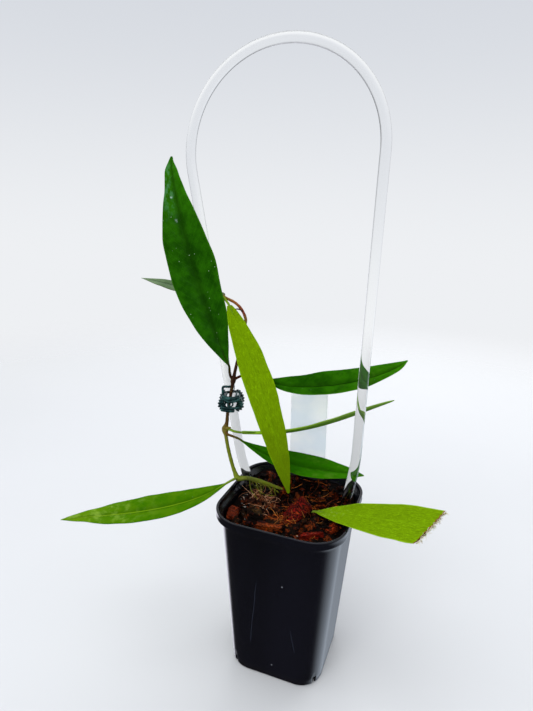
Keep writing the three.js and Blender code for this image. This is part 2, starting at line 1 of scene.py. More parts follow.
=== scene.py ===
import math
import bmesh
import bpy
import numpy as np
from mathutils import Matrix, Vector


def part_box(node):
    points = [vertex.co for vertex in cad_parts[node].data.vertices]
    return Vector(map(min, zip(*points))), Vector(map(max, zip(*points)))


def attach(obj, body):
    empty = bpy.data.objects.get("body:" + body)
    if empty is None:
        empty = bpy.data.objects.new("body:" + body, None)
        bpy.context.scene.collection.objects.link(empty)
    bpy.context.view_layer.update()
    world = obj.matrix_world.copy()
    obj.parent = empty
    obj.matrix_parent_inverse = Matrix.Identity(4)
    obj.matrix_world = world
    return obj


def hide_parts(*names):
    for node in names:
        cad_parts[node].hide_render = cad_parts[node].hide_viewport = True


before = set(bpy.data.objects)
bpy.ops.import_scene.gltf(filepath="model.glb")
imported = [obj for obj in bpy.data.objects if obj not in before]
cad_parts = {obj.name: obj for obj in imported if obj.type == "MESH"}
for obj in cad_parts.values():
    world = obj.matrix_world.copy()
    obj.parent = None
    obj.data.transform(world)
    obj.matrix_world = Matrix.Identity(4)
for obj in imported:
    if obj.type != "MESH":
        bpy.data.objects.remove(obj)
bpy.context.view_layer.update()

# ---------------------------------------------------------------- pot
# A small square nursery pot with round corners, injection moulded in thin glossy black plastic.
# It tapers to its base, has a turned band round the rim, and one drain slot at each base corner.
MM = 0.001
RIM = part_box("pot")[1][2] / MM          # height of the rim above the table, in millimetres

POT_WALL, POT_FLOOR = 0.8, 1.6
BAND_HALF, BAND_CORNER, BAND_HEIGHT, BAND_WALL = 35.0, 18.0, 4.4, 1.5
BAND_ROUND, LIP_ROUND, LIP_INNER = 0.5, 0.6, 0.9
BAND_INSIDE_TOP, BAND_INSIDE_DROP, BAND_INSIDE_FOOT = 1.1, 4.2, 5.3     # below the rim
WALL_TOP_HALF, WALL_TOP_CORNER = 32.3, 16.5
BASE_HALF, BASE_CORNER, HEEL = 25.9, 12.5, 1.2
SLOT_WIDTH, SLOT_HEIGHT, SLOT_LENGTH, SLOT_OFFSET, SLOT_INWARD = 2.3, 5.0, 8.0, 1.8, 1.5
SCUFFS = ((-0.0137, 0.0955, 0.022, 0.068), (0.0173, -0.164, 0.024, 0.042))     # x at the base, slope, low, high


def perimeter(arc_steps=18, flat_steps=12):
    """Where the points round the pot lie: which way each looks, and which corner's centre it turns about.
    Along a corner's arc the direction turns; along a flat it holds, while the centre moves to the next."""
    corner = np.array([[1, 1], [-1, 1], [-1, -1], [1, -1]], float)
    arc = np.linspace(0, 1, arc_steps + 1)
    flat = np.linspace(0, 1, flat_steps + 1)[1:-1, None]
    angle, about = [], []
    for quarter in range(4):
        angle += [(quarter + arc) * np.pi / 2, np.full(flat_steps - 1, (quarter + 1) * np.pi / 2)]
        about += [np.repeat(corner[quarter][None], arc_steps + 1, 0),
                  corner[quarter] * (1 - flat) + corner[(quarter + 1) % 4] * flat]
    return np.concatenate(angle), np.concatenate(about)


def rounded_square(half, corner, height, ring=perimeter()):
    """Stacked rings: each point is its corner's centre, at half - corner both ways, plus corner along its
    direction."""
    angle, about = ring
    half, corner, height = (np.asarray(value, float)[:, None] for value in (half, corner, height))
    x = about[:, 0] * (half - corner) + corner * np.cos(angle)
    y = about[:, 1] * (half - corner) + corner * np.sin(angle)
    return np.stack([x, y, np.broadcast_to(height, x.shape)], -1)


def grid_faces(rows, columns, wrap_rows=False, wrap_columns=False):
    """Quads between neighbours on a grid of points numbered row by row."""
    r = np.arange(rows if wrap_rows else rows - 1)[:, None]
    c = np.arange(columns if wrap_columns else columns - 1)[None, :]
    down, right = (r + 1) % rows, (c + 1) % columns
    quads = [r * columns + c, r * columns + right, down * columns + right, down * columns + c]
    return np.stack(quads, -1).reshape(-1, 4)


def fan(centre, ring):
    """Triangles from one point to a closed ring of points."""
    return np.stack([np.full(len(ring), centre), np.roll(ring, -1), ring], -1)


def closed_skin(rows, columns, reverse=False):
    """Faces of a closed body: quads round a stack of rings, and a fan over each end. The two middle points of
    the ends are numbered after the rings' points. It is reversed where the rings run the other way round."""
    count = rows * columns
    first, last = np.arange(columns), count - columns + np.arange(columns)
    quads = grid_faces(rows, columns, wrap_columns=True)
    if reverse:
        return [quads[:, ::-1], fan(count, first[::-1]), fan(count + 1, last)]
    return [quads, fan(count, first), fan(count + 1, last[::-1])]


def make_piece(name, points, faces, material=None, uv=None, marks=None, smooth=True):
    """A mesh object from points in millimetres and arrays of faces. uv is given for each point, and marks
    are named numbers or colours for each point, kept for the material to read."""
    mesh = bpy.data.meshes.new(name)
    faces = [np.asarray(part) for part in (faces if isinstance(faces, list) else [faces])]
    corners = np.concatenate([part.ravel() for part in faces])
    sizes = np.concatenate([np.full(len(part), part.shape[1]) for part in faces])
    mesh.vertices.add(len(points))
    mesh.vertices.foreach_set("co", (np.asarray(points, float).reshape(-1, 3) * MM).ravel())
    mesh.loops.add(len(corners))
    mesh.loops.foreach_set("vertex_index", corners.astype(np.int32))
    mesh.polygons.add(len(sizes))
    mesh.polygons.foreach_set("loop_start", np.concatenate([[0], np.cumsum(sizes)[:-1]]).astype(np.int32))
    mesh.polygons.foreach_set("use_smooth", np.full(len(sizes), smooth))
    mesh.update(calc_edges=True)
    if uv is not None:
        layer = mesh.uv_layers.new(name="UVMap")
        layer.data.foreach_set("uv", np.asarray(uv, float).reshape(-1, 2)[corners].ravel())
    for label, values in (marks or {}).items():
        values = np.asarray(values, float)
        if values.ndim == 1:
            mesh.attributes.new(label, "FLOAT", "POINT").data.foreach_set("value", values)
        else:
            full = np.concatenate([values, np.ones((len(values), 1))], 1)
            mesh.attributes.new(label, "FLOAT_COLOR", "POINT").data.foreach_set("color", full.ravel())
    if mesh.validate():
        raise ValueError(f"{name} has faces that Blender had to mend")
    piece = bpy.data.objects.new(name, mesh)
    bpy.context.scene.collection.objects.link(piece)
    if material:
        mesh.materials.append(material)
    return piece


class Wire:
    """A socket that gives a value, with arithmetic that adds Math nodes."""

    def __init__(self, finish, socket):
        self.finish, self.socket = finish, socket

    def math(self, operation, *values):
        """One Math node on these values."""
        return self.finish.node("ShaderNodeMath", {"operation": operation}, dict(enumerate(values)))

    def __add__(self, other): return self.math("ADD", self, other)
    def __radd__(self, other): return self.math("ADD", other, self)
    def __sub__(self, other): return self.math("SUBTRACT", self, other)
    def __rsub__(self, other): return self.math("SUBTRACT", other, self)
    def __mul__(self, other): return self.math("MULTIPLY", self, other)
    def __rmul__(self, other): return self.math("MULTIPLY", other, self)
    def __pow__(self, other): return self.math("POWER", self, other)
    def __abs__(self): return self.math("ABSOLUTE", self)

    def step(self, low, high):
        """0 below low and 1 above high, smooth between. Given high first, it falls instead."""
        return self.finish.node("ShaderNodeMapRange", {"interpolation_type": "SMOOTHSTEP"},
                                {"Value": self, "From Min": low, "From Max": high})


class Finish:
    """A material in the making. node() adds a node: its settings are set first, then the values or links
    of its sockets."""

    def __init__(self, name, kind=None):
        self.material = (bpy.data.materials if kind is None else kind).new(name)
        self.material.use_nodes = True
        self.tree = self.material.node_tree
        self.tree.nodes.clear()

    def node(self, kind, settings=None, sockets=None, out=0):
        """Any node, and the wire from one of its outputs."""
        made = self.tree.nodes.new(kind)
        for key, value in (settings or {}).items():
            if key == "stops":
                ramp = made.color_ramp
                while len(ramp.elements) < len(value):
                    ramp.elements.new(0.5)
                for element, (place, colour) in zip(ramp.elements, value):
                    element.position, element.color = place, (*colour, 1)
            else:
                setattr(made, key, value)
        for key, value in (sockets or {}).items():
            if isinstance(value, Wire):
                self.tree.links.new(value.socket, made.inputs[key])
            else:
                plain = (*value, 1) if isinstance(value, tuple) and made.inputs[key].type == "RGBA" else value
                made.inputs[key].default_value = plain
        return Wire(self, made.outputs[out])

    def place(self):
        """Object coordinates: metres in the part's own frame."""
        return self.node("ShaderNodeTexCoord", out="Object")

    def split(self, vector):
        """The x, y and z of a vector."""
        made = self.node("ShaderNodeSeparateXYZ", sockets={0: vector}).socket.node
        return [Wire(self, made.outputs[k]) for k in range(3)]

    def noise(self, vector, scale, detail=3.0, rough=0.5):
        """Cloudy noise about 0.5. Scale is the number of clouds to a metre."""
        sockets = {"Vector": vector, "Scale": scale, "Detail": detail, "Roughness": rough}
        return self.node("ShaderNodeTexNoise", sockets=sockets)

    def cells(self, vector, scale):
        """Distance from the nearest of many scattered points, in cells."""
        return self.node("ShaderNodeTexVoronoi", sockets={"Vector": vector, "Scale": scale}, out="Distance")

    def stretched(self, vector, scale):
        """A vector scaled by its own amount along x, y and z."""
        return self.node("ShaderNodeVectorMath", {"operation": "MULTIPLY"}, {0: vector, 1: scale})

    def mark(self, label, colour=False):
        """What make_piece kept for each point under this name."""
        return self.node("ShaderNodeAttribute", {"attribute_name": label}, out="Color" if colour else "Fac")

    def mix(self, factor, a, b):
        """Colour a where factor is 0, colour b where it is 1."""
        return self.node("ShaderNodeMix", {"data_type": "RGBA"}, {0: factor, 6: a, 7: b}, out=2)

    def ramp(self, factor, *stops):
        """Colours along a scale: each stop is a place from 0 to 1 and its colour."""
        return self.node("ShaderNodeValToRGB", {"stops": stops}, {0: factor})

    def bump(self, height, depth):
        """Raised by depth, in millimetres, where height is 1."""
        return self.node("ShaderNodeBump", sockets={"Height": height, "Distance": depth * MM})

    def surface(self, **values):
        """The one shader of the finish; socket names are written with underscores for spaces."""
        sockets = {key.replace("_", " "): value for key, value in values.items()}
        return self.finished(self.node("ShaderNodeBsdfPrincipled", sockets=sockets))

    def finished(self, shader, kind="ShaderNodeOutputMaterial"):
        """Joins the last shader to the output."""
        made = self.tree.nodes.new(kind)
        self.tree.links.new(shader.socket, made.inputs["Surface"])
        return self.material


def srgb(red, green, blue):
    """A colour as seen on a screen, from 0 to 255, as linear light: a straight line near black and a power
    of 2.4 above it."""
    shares = (tone / 255 for tone in (red, green, blue))
    return tuple(float(c / 12.92 if c <= 0.04045 else ((c + 0.055) / 1.055) ** 2.4) for c in shares)


def pot_plastic():
    """Black plastic with a blue cast: faint vertical scuffs, fine moulding ripple and a little dust."""
    look = Finish("pot plastic")
    place = look.place()
    x, y, z = look.split(place)
    front = y.step(-0.020, -0.026)
    wander = look.noise(look.stretched(place, (0, 0, 60.0)), 1.0) - 0.5
    scuffs = 0.0
    for at, slope, low, high in SCUFFS:
        line = abs(x - at - z * slope + wander * 0.0016).step(0.00022, 0.00006)
        scuffs = line * z.step(low - 0.002, low + 0.002) * z.step(high, high - 0.012) + scuffs
    scuffs = scuffs * front
    dust = look.cells(place, 95.0).step(0.045, 0.025) * look.noise(place, 45.0).step(0.50, 0.55)
    haze = look.noise(look.stretched(place, (22.0, 22.0, 6.0)), 1.0, 4.0)
    base = look.mix(haze.step(0.35, 0.7), srgb(8, 9, 14), srgb(14, 15, 24))
    base = look.mix(scuffs * 0.32, base, srgb(66, 76, 98))
    base = look.mix(dust * 0.55, base, srgb(176, 182, 192))
    ripple = look.noise(look.stretched(place, (55.0, 55.0, 9.0)), 1.0, 2.0)
    return look.surface(
        Base_Color=base, Roughness=haze * 0.10 + 0.16 + dust * 0.4 + scuffs * 0.15, IOR=1.5,
        Normal=look.bump(ripple, 0.02))


def fillet(centre_half, centre_height, radius, start, end, steps=5):
    """Part of a circle on the pot's profile: rows of half width and height, at angles from start to end."""
    angle = np.radians(np.linspace(start, end, steps + 1))
    return np.stack([centre_half + radius * np.cos(angle), centre_height + radius * np.sin(angle)], -1)


def pot_body():
    """Rings up the outside, over the lip and down the inside: each ring has a half width and a height, and a
    corner radius that goes with its height."""
    ledge = RIM - BAND_HEIGHT
    slope = (WALL_TOP_HALF - BASE_HALF) / ledge
    climb = np.linspace(HEEL, ledge - BAND_ROUND, 26)
    drop = np.linspace(RIM - 6.2, POT_FLOOR + 1.2, 16)
    inward = np.linspace(0, 1, 9)
    turn_in = BAND_HALF - BAND_WALL - (BASE_HALF + slope * (RIM - BAND_INSIDE_FOOT) - POT_WALL)
    band_inside = np.stack([BAND_HALF - BAND_WALL - turn_in * (1 - np.cos(np.pi * inward)) / 2,
                            RIM - BAND_INSIDE_TOP - BAND_INSIDE_DROP * inward], -1)
    profile = np.concatenate([
        fillet(BASE_HALF - HEEL, HEEL, HEEL, -90, -2),
        np.stack([BASE_HALF + slope * climb, climb], -1),
        fillet(WALL_TOP_HALF + BAND_ROUND, ledge - BAND_ROUND, BAND_ROUND, 180, 90, 3),
        fillet(BAND_HALF - BAND_ROUND, ledge + BAND_ROUND, BAND_ROUND, -90, 0, 3),
        [[BAND_HALF - 0.12, ledge + 1.2], [BAND_HALF - 0.2, ledge + 2.4], [BAND_HALF - 0.05, RIM - 1.1]],
        fillet(BAND_HALF - LIP_ROUND, RIM - LIP_ROUND, LIP_ROUND, 0, 85),
        fillet(BAND_HALF - LIP_ROUND, RIM - LIP_INNER, LIP_INNER, 90, 180),
        band_inside,
        np.stack([BASE_HALF + slope * drop - POT_WALL, drop], -1),
        fillet(BASE_HALF - POT_WALL - 1.0, POT_FLOOR + 1.0, 1.0, -10, -90, 4),
    ])
    half, height = profile.T
    share = np.clip(height / ledge, 0, 1)
    line_half = np.where(height > ledge, BAND_HALF, BASE_HALF + slope * height)
    line_corner = np.where(height > ledge, BAND_CORNER, BASE_CORNER + (WALL_TOP_CORNER - BASE_CORNER) * share)
    corner = line_corner - (line_half - half)
    rings = rounded_square(half, corner, height)
    middles = [[0, 0, height[0]], [0, 0, height[-1]]]
    return np.concatenate([rings.reshape(-1, 3), middles]), closed_skin(*rings.shape[:2])


def cut_slots(piece):
    """Takes the drain slot out of each corner at the base: a flat box set across the corner, the same four
    times with a quarter turn between, and then the doubled points along the cuts are merged."""
    corner_reach = (BASE_HALF - BASE_CORNER) * math.sqrt(2) + BASE_CORNER
    box = np.array([[x, y, z] for x in (-0.5, 0.5) for y in (-0.5, 0.5) for z in (-0.5, 0.5)])
    box = box * [SLOT_LENGTH, SLOT_WIDTH, 2 * SLOT_HEIGHT] + [corner_reach - SLOT_INWARD, SLOT_OFFSET, 0]
    sides = np.array([[0, 1, 3, 2], [4, 6, 7, 5], [0, 4, 5, 1], [2, 3, 7, 6], [0, 2, 6, 4], [1, 5, 7, 3]])
    points, faces = [], []
    for quarter in range(4):
        turn = math.radians(45 + 90 * quarter)
        spin = np.array([[math.cos(turn), -math.sin(turn), 0], [math.sin(turn), math.cos(turn), 0], [0, 0, 1]])
        points.append(box @ spin.T)
        faces.append(sides + 8 * quarter)
    cutter = make_piece("slot_cutter", np.concatenate(points), np.concatenate(faces), smooth=False)
    cut = piece.modifiers.new("slots", "BOOLEAN")
    cut.operation, cut.solver, cut.object = "DIFFERENCE", "EXACT", cutter
    whole = bpy.context.evaluated_depsgraph_get()
    done = bpy.data.meshes.new_from_object(piece.evaluated_get(whole))
    piece.modifiers.clear()
    merged = bmesh.new()
    merged.from_mesh(done)
    bmesh.ops.remove_doubles(merged, verts=merged.verts, dist=0.002 * MM)
    merged.to_mesh(done)
    merged.free()
    piece.data = done
    bpy.data.objects.remove(cutter)


pot = make_piece("nursery_pot", *pot_body(), pot_plastic())
cut_slots(pot)
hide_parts("pot")
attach(pot, "root")


# ---------------------------------------------------------------- growing mix
# A loose open mix of dark compost, split bark and coir, filled to a finger below the rim. The bed is
# one lumpy body; the small chips, the coir fibres and the white grit lie on it.
MIX_LEVEL, MIX_LUMP, MIX_SLOPE = -7.2, 1.1, 0.02
MIX_BANK, BANK_START, BANK_RUN = 3.4, 4, 20
MIX_GAP, MIX_RINGS = 0.3, 64            # between the mix and the pot; rings from its middle to the wall
COIR_TUFTS = ((-20, 1.6, 7), (-14, -1, 8), (-17, 4, 6), (9.4, 6.5, 7), (-2, -12, 6), (4, 2, 5))     # x, y, spread


def lumps(x, y, size, seed):
    """Smooth random heights from -1 to 1: a lattice of random numbers, eased from one to the next."""
    lattice = np.random.default_rng(seed).uniform(-1, 1, (64, 64))
    x, y = np.asarray(x, float) / size + 20, np.asarray(y, float) / size + 20
    i, j = np.floor(x).astype(int), np.floor(y).astype(int)
    u, v = x - i, y - j
    u, v = u * u * (3 - 2 * u), v * v * (3 - 2 * v)
    i, j, k, m = i % 64, j % 64, (i + 1) % 64, (j + 1) % 64
    return ((lattice[i, j] * (1 - u) + lattice[k, j] * u) * (1 - v)
            + (lattice[i, m] * (1 - u) + lattice[k, m] * u) * v)


def mix_height(x, y):
    """Height of the bed below the rim: low rounded lumps on a slope that is banked up towards the back."""
    bank = np.clip((y - BANK_START) / BANK_RUN, 0, 1)
    return (MIX_LEVEL + MIX_SLOPE * y + MIX_BANK * bank * bank * (3 - 2 * bank) + MIX_LUMP * (
        0.6 * np.sin(x / 4.7 + 1.2) * np.cos(y / 5.3) + 0.4 * np.sin((x + y) / 2.9)))


def mix_bed():
    """Rings from the middle of the top out to the wall, down the wall and in over the floor. The top has
    crumbs: three sizes of lumps added to the bed's height."""
    inset = POT_WALL + MIX_GAP
    top_half, top_corner = WALL_TOP_HALF - inset - 0.2, WALL_TOP_CORNER - inset
    scale = np.linspace(0.02, 1, MIX_RINGS)
    top = rounded_square(top_half * scale, top_corner * scale, np.zeros(MIX_RINGS))
    x, y = top[..., 0], top[..., 1]
    crumbs = 0.55 * lumps(x, y, 2.2, 1) + 0.4 * lumps(x, y, 1.0, 2) + 0.25 * lumps(x, y, 0.5, 3)
    top[..., 2] = RIM + mix_height(x, y) + crumbs - 0.3
    floor, ledge = POT_FLOOR + MIX_GAP, RIM - BAND_HEIGHT
    slope = (WALL_TOP_HALF - BASE_HALF) / ledge
    depth = np.linspace(RIM - 10.5, floor + 1.2, 8)
    wall_corner = BASE_CORNER + (WALL_TOP_CORNER - BASE_CORNER) * depth / ledge - inset
    wall = rounded_square(BASE_HALF + slope * depth - inset, wall_corner, depth)
    base = rounded_square([BASE_HALF - inset - 1.0, 8.0], [BASE_CORNER - inset - 1.0, 4.0], [floor, floor])
    rings = np.concatenate([top, wall, base])
    points = np.concatenate([rings.reshape(-1, 3), [[0, 0, RIM + MIX_LEVEL], [0, 0, floor]]])
    return points, closed_skin(*rings.shape[:2], reverse=True)


def compost():
    """Nearly black compost, with rusty and pale crumbs where the noise is high."""
    look = Finish("compost")
    place = look.place()
    grain = look.noise(place, 900.0, 5.0, 0.65)
    patch = look.noise(place, 220.0, 3.0)
    colour = look.ramp(
        grain, (0.38, srgb(3, 2, 2)), (0.54, srgb(14, 7, 5)), (0.67, srgb(36, 13, 7)), (0.84, srgb(104, 44, 18)))
    colour = look.mix(patch.step(0.42, 0.6), look.mix(0.75, colour, srgb(8, 6, 6)), colour)
    return look.surface(
        Base_Color=colour, Roughness=grain * -0.3 + 0.85, Specular_IOR_Level=0.04, Normal=look.bump(grain, 0.5))


bed = make_piece("mix_bed", *mix_bed(), compost())
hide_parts("growing_mix")
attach(bed, "root")


def turned(angles):
    """Turns about X, then Y, then Z, for rows of angles in radians."""
    (a, b, c) = np.asarray(angles, float).T
    zero, one = np.zeros_like(a), np.ones_like(a)
    about_x, about_y, about_z = (np.stack(cells, -1).reshape(-1, 3, 3) for cells in (
        [one, zero, zero, zero, np.cos(a), -np.sin(a), zero, np.sin(a), np.cos(a)],
        [np.cos(b), zero, np.sin(b), zero, one, zero, -np.sin(b), zero, np.cos(b)],
        [np.cos(c), -np.sin(c), zero, np.sin(c), np.cos(c), zero, zero, zero, one]))
    return about_z @ about_y @ about_x


def tints(*tones):
    """Several screen colours as rows of linear light."""
    return np.array([srgb(*tone) for tone in tones])


BARK_TINTS = tints(
    (74, 14, 8), (100, 30, 10), (138, 58, 14), (36, 13, 8), (20, 10, 7), (80, 22, 10), (44, 26, 13), (13, 9, 7),
    (17, 10, 7), (28, 15, 9), (56, 34, 16))


def scattered_chips(count, seed):
    """Small chips on the bed: each is a box of 3 by 2 by 1 cells with its corners drawn in at random,
    turned at random, and laid at the height of the bed."""
    random = np.random.default_rng(seed)
    steps = [np.linspace(-0.5, 0.5, n + 1) for n in (3, 2, 1)]
    lattice = np.stack(np.meshgrid(*steps, indexing="ij"), -1)
    number = np.arange(lattice[..., 0].size).reshape(lattice.shape[:3])
    shell, faces = lattice.reshape(-1, 3), []
    for axis in range(3):
        for end, turn in ((0, 1), (-1, -1)):
            side = np.take(number, end, axis=axis)
            quads = np.stack([side[:-1, :-1], side[1:, :-1], side[1:, 1:], side[:-1, 1:]], -1).reshape(-1, 4)
            faces.append(quads[:, ::turn if axis != 1 else -turn][:, ::-1])
    faces = np.concatenate(faces)
    length = random.uniform(1.8, 7.5, count)
    size = np.stack([length, length * random.uniform(0.35, 0.7, count), random.uniform(0.7, 1.8, count)], -1)
    drawn = 1 - random.uniform(0, 0.34, (count, len(shell), 3))
    body = shell * drawn * size[:, None]
    tilts = [random.normal(0, 0.4, count), random.normal(0, 0.4, count), random.uniform(0, 6.3, count)]
    spin = turned(np.stack(tilts, -1))
    x, y = random.uniform(-28, 28, (2, count))
    rim_gap = np.maximum(np.hypot(np.maximum(abs(x) - 14, 0), np.maximum(abs(y) - 14, 0)) - 13.5, 0)
    x, y = x * (1 - rim_gap / 30), y * (1 - rim_gap / 30)
    height = RIM + mix_height(x, y) + random.uniform(-0.5, 0.9, count)
    points = np.einsum("nij,nkj->nki", spin, body) + np.stack([x, y, height], -1)[:, None]
    tint = BARK_TINTS[random.integers(0, len(BARK_TINTS), count)] * random.uniform(0.2, 0.9, (count, 1))
    numbering = (faces[None] + np.arange(count)[:, None, None] * len(shell)).reshape(-1, 4)
    grain = np.repeat((shell * [3.0, 1.0, 1.0])[None], count, 0)[..., :2] + random.uniform(0, 50, (count, 1, 2))
    return points.reshape(-1, 3), numbering, grain.reshape(-1, 2), np.repeat(tint, len(shell), 0)


def split_bark():
    """Split pine bark: each chip's own rusty tint, painted shade in the grain's furrows, painted highlights of bright
    rust on some ridges, and long fibres.
    """
    look = Finish("split bark")
    grain_map = look.node("ShaderNodeUVMap")
    grain = look.noise(look.stretched(grain_map, (0.55, 6.0, 1.0)), 1.6, 5.0, 0.6)
    blotch = look.noise(look.place(), 260.0, 3.0)
    tint = look.mark("tint", colour=True)
    # painted shade: the tint goes nearly black in the grain's furrows
    colour = look.mix(grain.step(0.44, 0.54), tint, srgb(7, 3, 2))
    # painted highlight: bright rust in blotches on the ridges, where the grain is low
    colour = look.mix(blotch.step(0.54, 0.68) * grain.step(0.58, 0.40) * 0.55, colour, srgb(190, 78, 22))
    soil = look.noise(look.place(), 420.0, 4.0, 0.7).step(0.52, 0.60)
    colour = look.mix(soil * 0.6, colour, srgb(9, 5, 4))
    return look.surface(
        Base_Color=colour, Roughness=grain * 0.3 + 0.35, Specular_IOR_Level=0.07, Normal=look.bump(grain, 0.7))


bark_finish = split_bark()
points, faces, grain, tint = scattered_chips(count=330, seed=7)
small_chips = make_piece("small_chips", points, faces, bark_finish, uv=grain, marks={"tint": tint}, smooth=False)
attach(small_chips, "root")


def strands(start, heading, length, bend, radius, steps=7):
    """Many thin strands at once: each runs from start along heading, curls by bend over its length, and is
    a four-sided tube that thins to less than half. The curl turns the heading about the upright; the tube's
    ring stands on it."""
    count, sides = len(start), 4
    s = np.linspace(0, 1, steps)
    turn = heading[:, 0][:, None] + bend[:, 0][:, None] * s
    climb = heading[:, 1][:, None] + bend[:, 1][:, None] * s
    way = np.stack([np.cos(climb) * np.cos(turn), np.cos(climb) * np.sin(turn), np.sin(climb)], -1)
    line = start[:, None] + np.cumsum(way, 1) * (length / steps)[:, None, None]
    side = np.stack([-np.sin(turn), np.cos(turn), np.zeros_like(turn)], -1)
    up = np.cross(way, side)
    angle = np.arange(sides) * 2 * np.pi / sides
    thin = (radius[:, None] * (1 - 0.55 * s))[..., None, None]
    ring = side[..., None, :] * np.cos(angle)[:, None] + up[..., None, :] * np.sin(angle)[:, None]
    points = line[..., None, :] + ring * thin
    quads = grid_faces(steps, sides, wrap_columns=True)
    caps = np.stack([np.arange(sides)[::-1], (steps - 1) * sides + np.arange(sides)])
    faces = np.concatenate([quads, caps])
    faces = (faces[None] + np.arange(count)[:, None, None] * steps * sides).reshape(-1, 4)
    return points.reshape(-1, 3), faces


COIR_TAN = tints((200, 134, 96), (132, 72, 44), (222, 172, 136), (82, 38, 22))
COIR_RUST = tints((198, 100, 30), (140, 56, 14), (216, 132, 56), (76, 30, 12))


def coir(seed, in_tufts=300, scattered=70):
    """Coir fibres in a few tufts and a thin scatter: more near each tuft's middle. They are tan at the left
    and rusty elsewhere."""
    random = np.random.default_rng(seed)
    tufts = np.array(COIR_TUFTS, float)
    which = random.integers(0, len(tufts), in_tufts)
    near = tufts[which, :2] + random.normal(0, 1, (in_tufts, 2)) * tufts[which, 2:] * 0.42
    loose = random.uniform(-25, 25, (scattered, 2))
    x, y = np.clip(np.concatenate([near, loose]), -26, 26).T
    count = len(x)
    start = np.stack([x, y, RIM + mix_height(x, y) + random.uniform(0.2, 1.3, count)], -1)
    heading = np.stack([random.uniform(0, 6.3, count), random.normal(0.12, 0.22, count)], -1)
    bend = np.stack([random.normal(0, 1.3, count), random.normal(-0.3, 0.35, count)], -1)
    points, faces = strands(start, heading, random.uniform(3, 10, count), bend, random.uniform(0.05, 0.14, count))
    tan, rust = COIR_TAN[random.integers(0, 4, count)], COIR_RUST[random.integers(0, 4, count)]
    tint = np.where(x[:, None] < -8, tan, rust)
    return points, faces, np.repeat(tint, len(points) // count, 0)


def coir_fibre():
    """Tan to rusty fibre, one tint to a strand, a little lighter in places."""
    look = Finish("coir fibre")
    fleck = look.noise(look.place(), 700.0, 2.0)
    colour = look.mix(fleck.step(0.45, 0.7) * 0.3, look.mark("tint", colour=True), srgb(190, 132, 84))
    return look.surface(Base_Color=colour, Roughness=fleck * 0.2 + 0.55, Specular_IOR_Level=0.08)


points, faces, tint = coir(seed=21)
fibres = make_piece("coir_fibres", points, faces, coir_fibre(), marks={"tint": tint})
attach(fibres, "root")


def grit(count, seed):
    """White specks: eight-sided grains, most of them along the left wall."""
    random = np.random.default_rng(seed)
    x = np.where(random.uniform(0, 1, count) < 0.6, random.uniform(-29, -22, count), random.uniform(-22, 25, count))
    y = np.where(x < -22, random.uniform(-17, 14, count), random.uniform(-24, 24, count))
    corner = np.array([[1, 0, 0], [0, 1, 0], [-1, 0, 0], [0, -1, 0], [0, 0, 1], [0, 0, -1]], float)
    corner = corner * random.uniform(0.7, 1.3, (count, 6, 1)) * random.uniform(0.16, 0.38, (count, 1, 1))
    centre = np.stack([x, y, RIM + mix_height(x, y) + 0.5], -1)
    faces = np.array([[0, 1, 4], [1, 2, 4], [2, 3, 4], [3, 0, 4], [1, 0, 5], [2, 1, 5], [3, 2, 5], [0, 3, 5]])
    numbering = (faces[None] + np.arange(count)[:, None, None] * 6).reshape(-1, 3)
    return (corner + centre[:, None]).reshape(-1, 3), numbering


def white_grit():
    """Chalky white grains, some of them stained."""
    look = Finish("white grit")
    stain = look.noise(look.place(), 400.0)
    colour = look.mix(stain, srgb(228, 226, 220), srgb(150, 140, 126))
    return look.surface(Base_Color=colour, Roughness=stain * 0.2 + 0.5)


specks = make_piece("white_specks", *grit(count=55, seed=5), white_grit())
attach(specks, "root")


# ---------------------------------------------------------------- bark chips
# The ten larger chips that lie on the mix: slabs split from pine bark, with furrows along the grain
# and torn ends. Each has its place, its length, width and thickness, its turn, its tilt and its tint.
BARK = (
    ("bark_chip_01", (4.4, -4.2, -6.0), (20, 13, 3.6), 66, (16, -14), (116, 19, 11)),
    ("bark_chip_02", (-4.5, -22.5, -6.4), (15, 9, 3.2), 24, (-12, 8), (164, 70, 18)),
    ("bark_chip_03", (9, 20.5, -6.6), (13, 8, 3), -30, (6, 10), (168, 82, 20)),
    ("bark_chip_04", (17, -20.5, -6.6), (14, 7, 3.2), 18, (-8, -12), (156, 34, 16)),
    ("bark_chip_05", (25.6, -8.5, -6.8), (10, 6, 2.8), 74, (4, -14), (156, 54, 18)),
    ("bark_chip_06", (-27, -17, -6.8), (11, 7, 3), 100, (12, 0), (122, 42, 16)),
    ("bark_chip_07", (-15, -12.5, -6.8), (12, 8, 3), -48, (-8, 8), (74, 52, 22)),
    ("bark_chip_08", (-24.2, -3.5, -7.2), (9, 6, 2.6), 15, (6, -6), (54, 20, 9)),
    ("bark_chip_09", (19.5, 12, -6.8), (9, 6, 2.6), 40, (-10, 6), (48, 22, 11)),
    ("bark_chip_10", (-18, 22, -6.8), (12, 8, 2.8), 150, (8, 8), (36, 15, 8)),
)


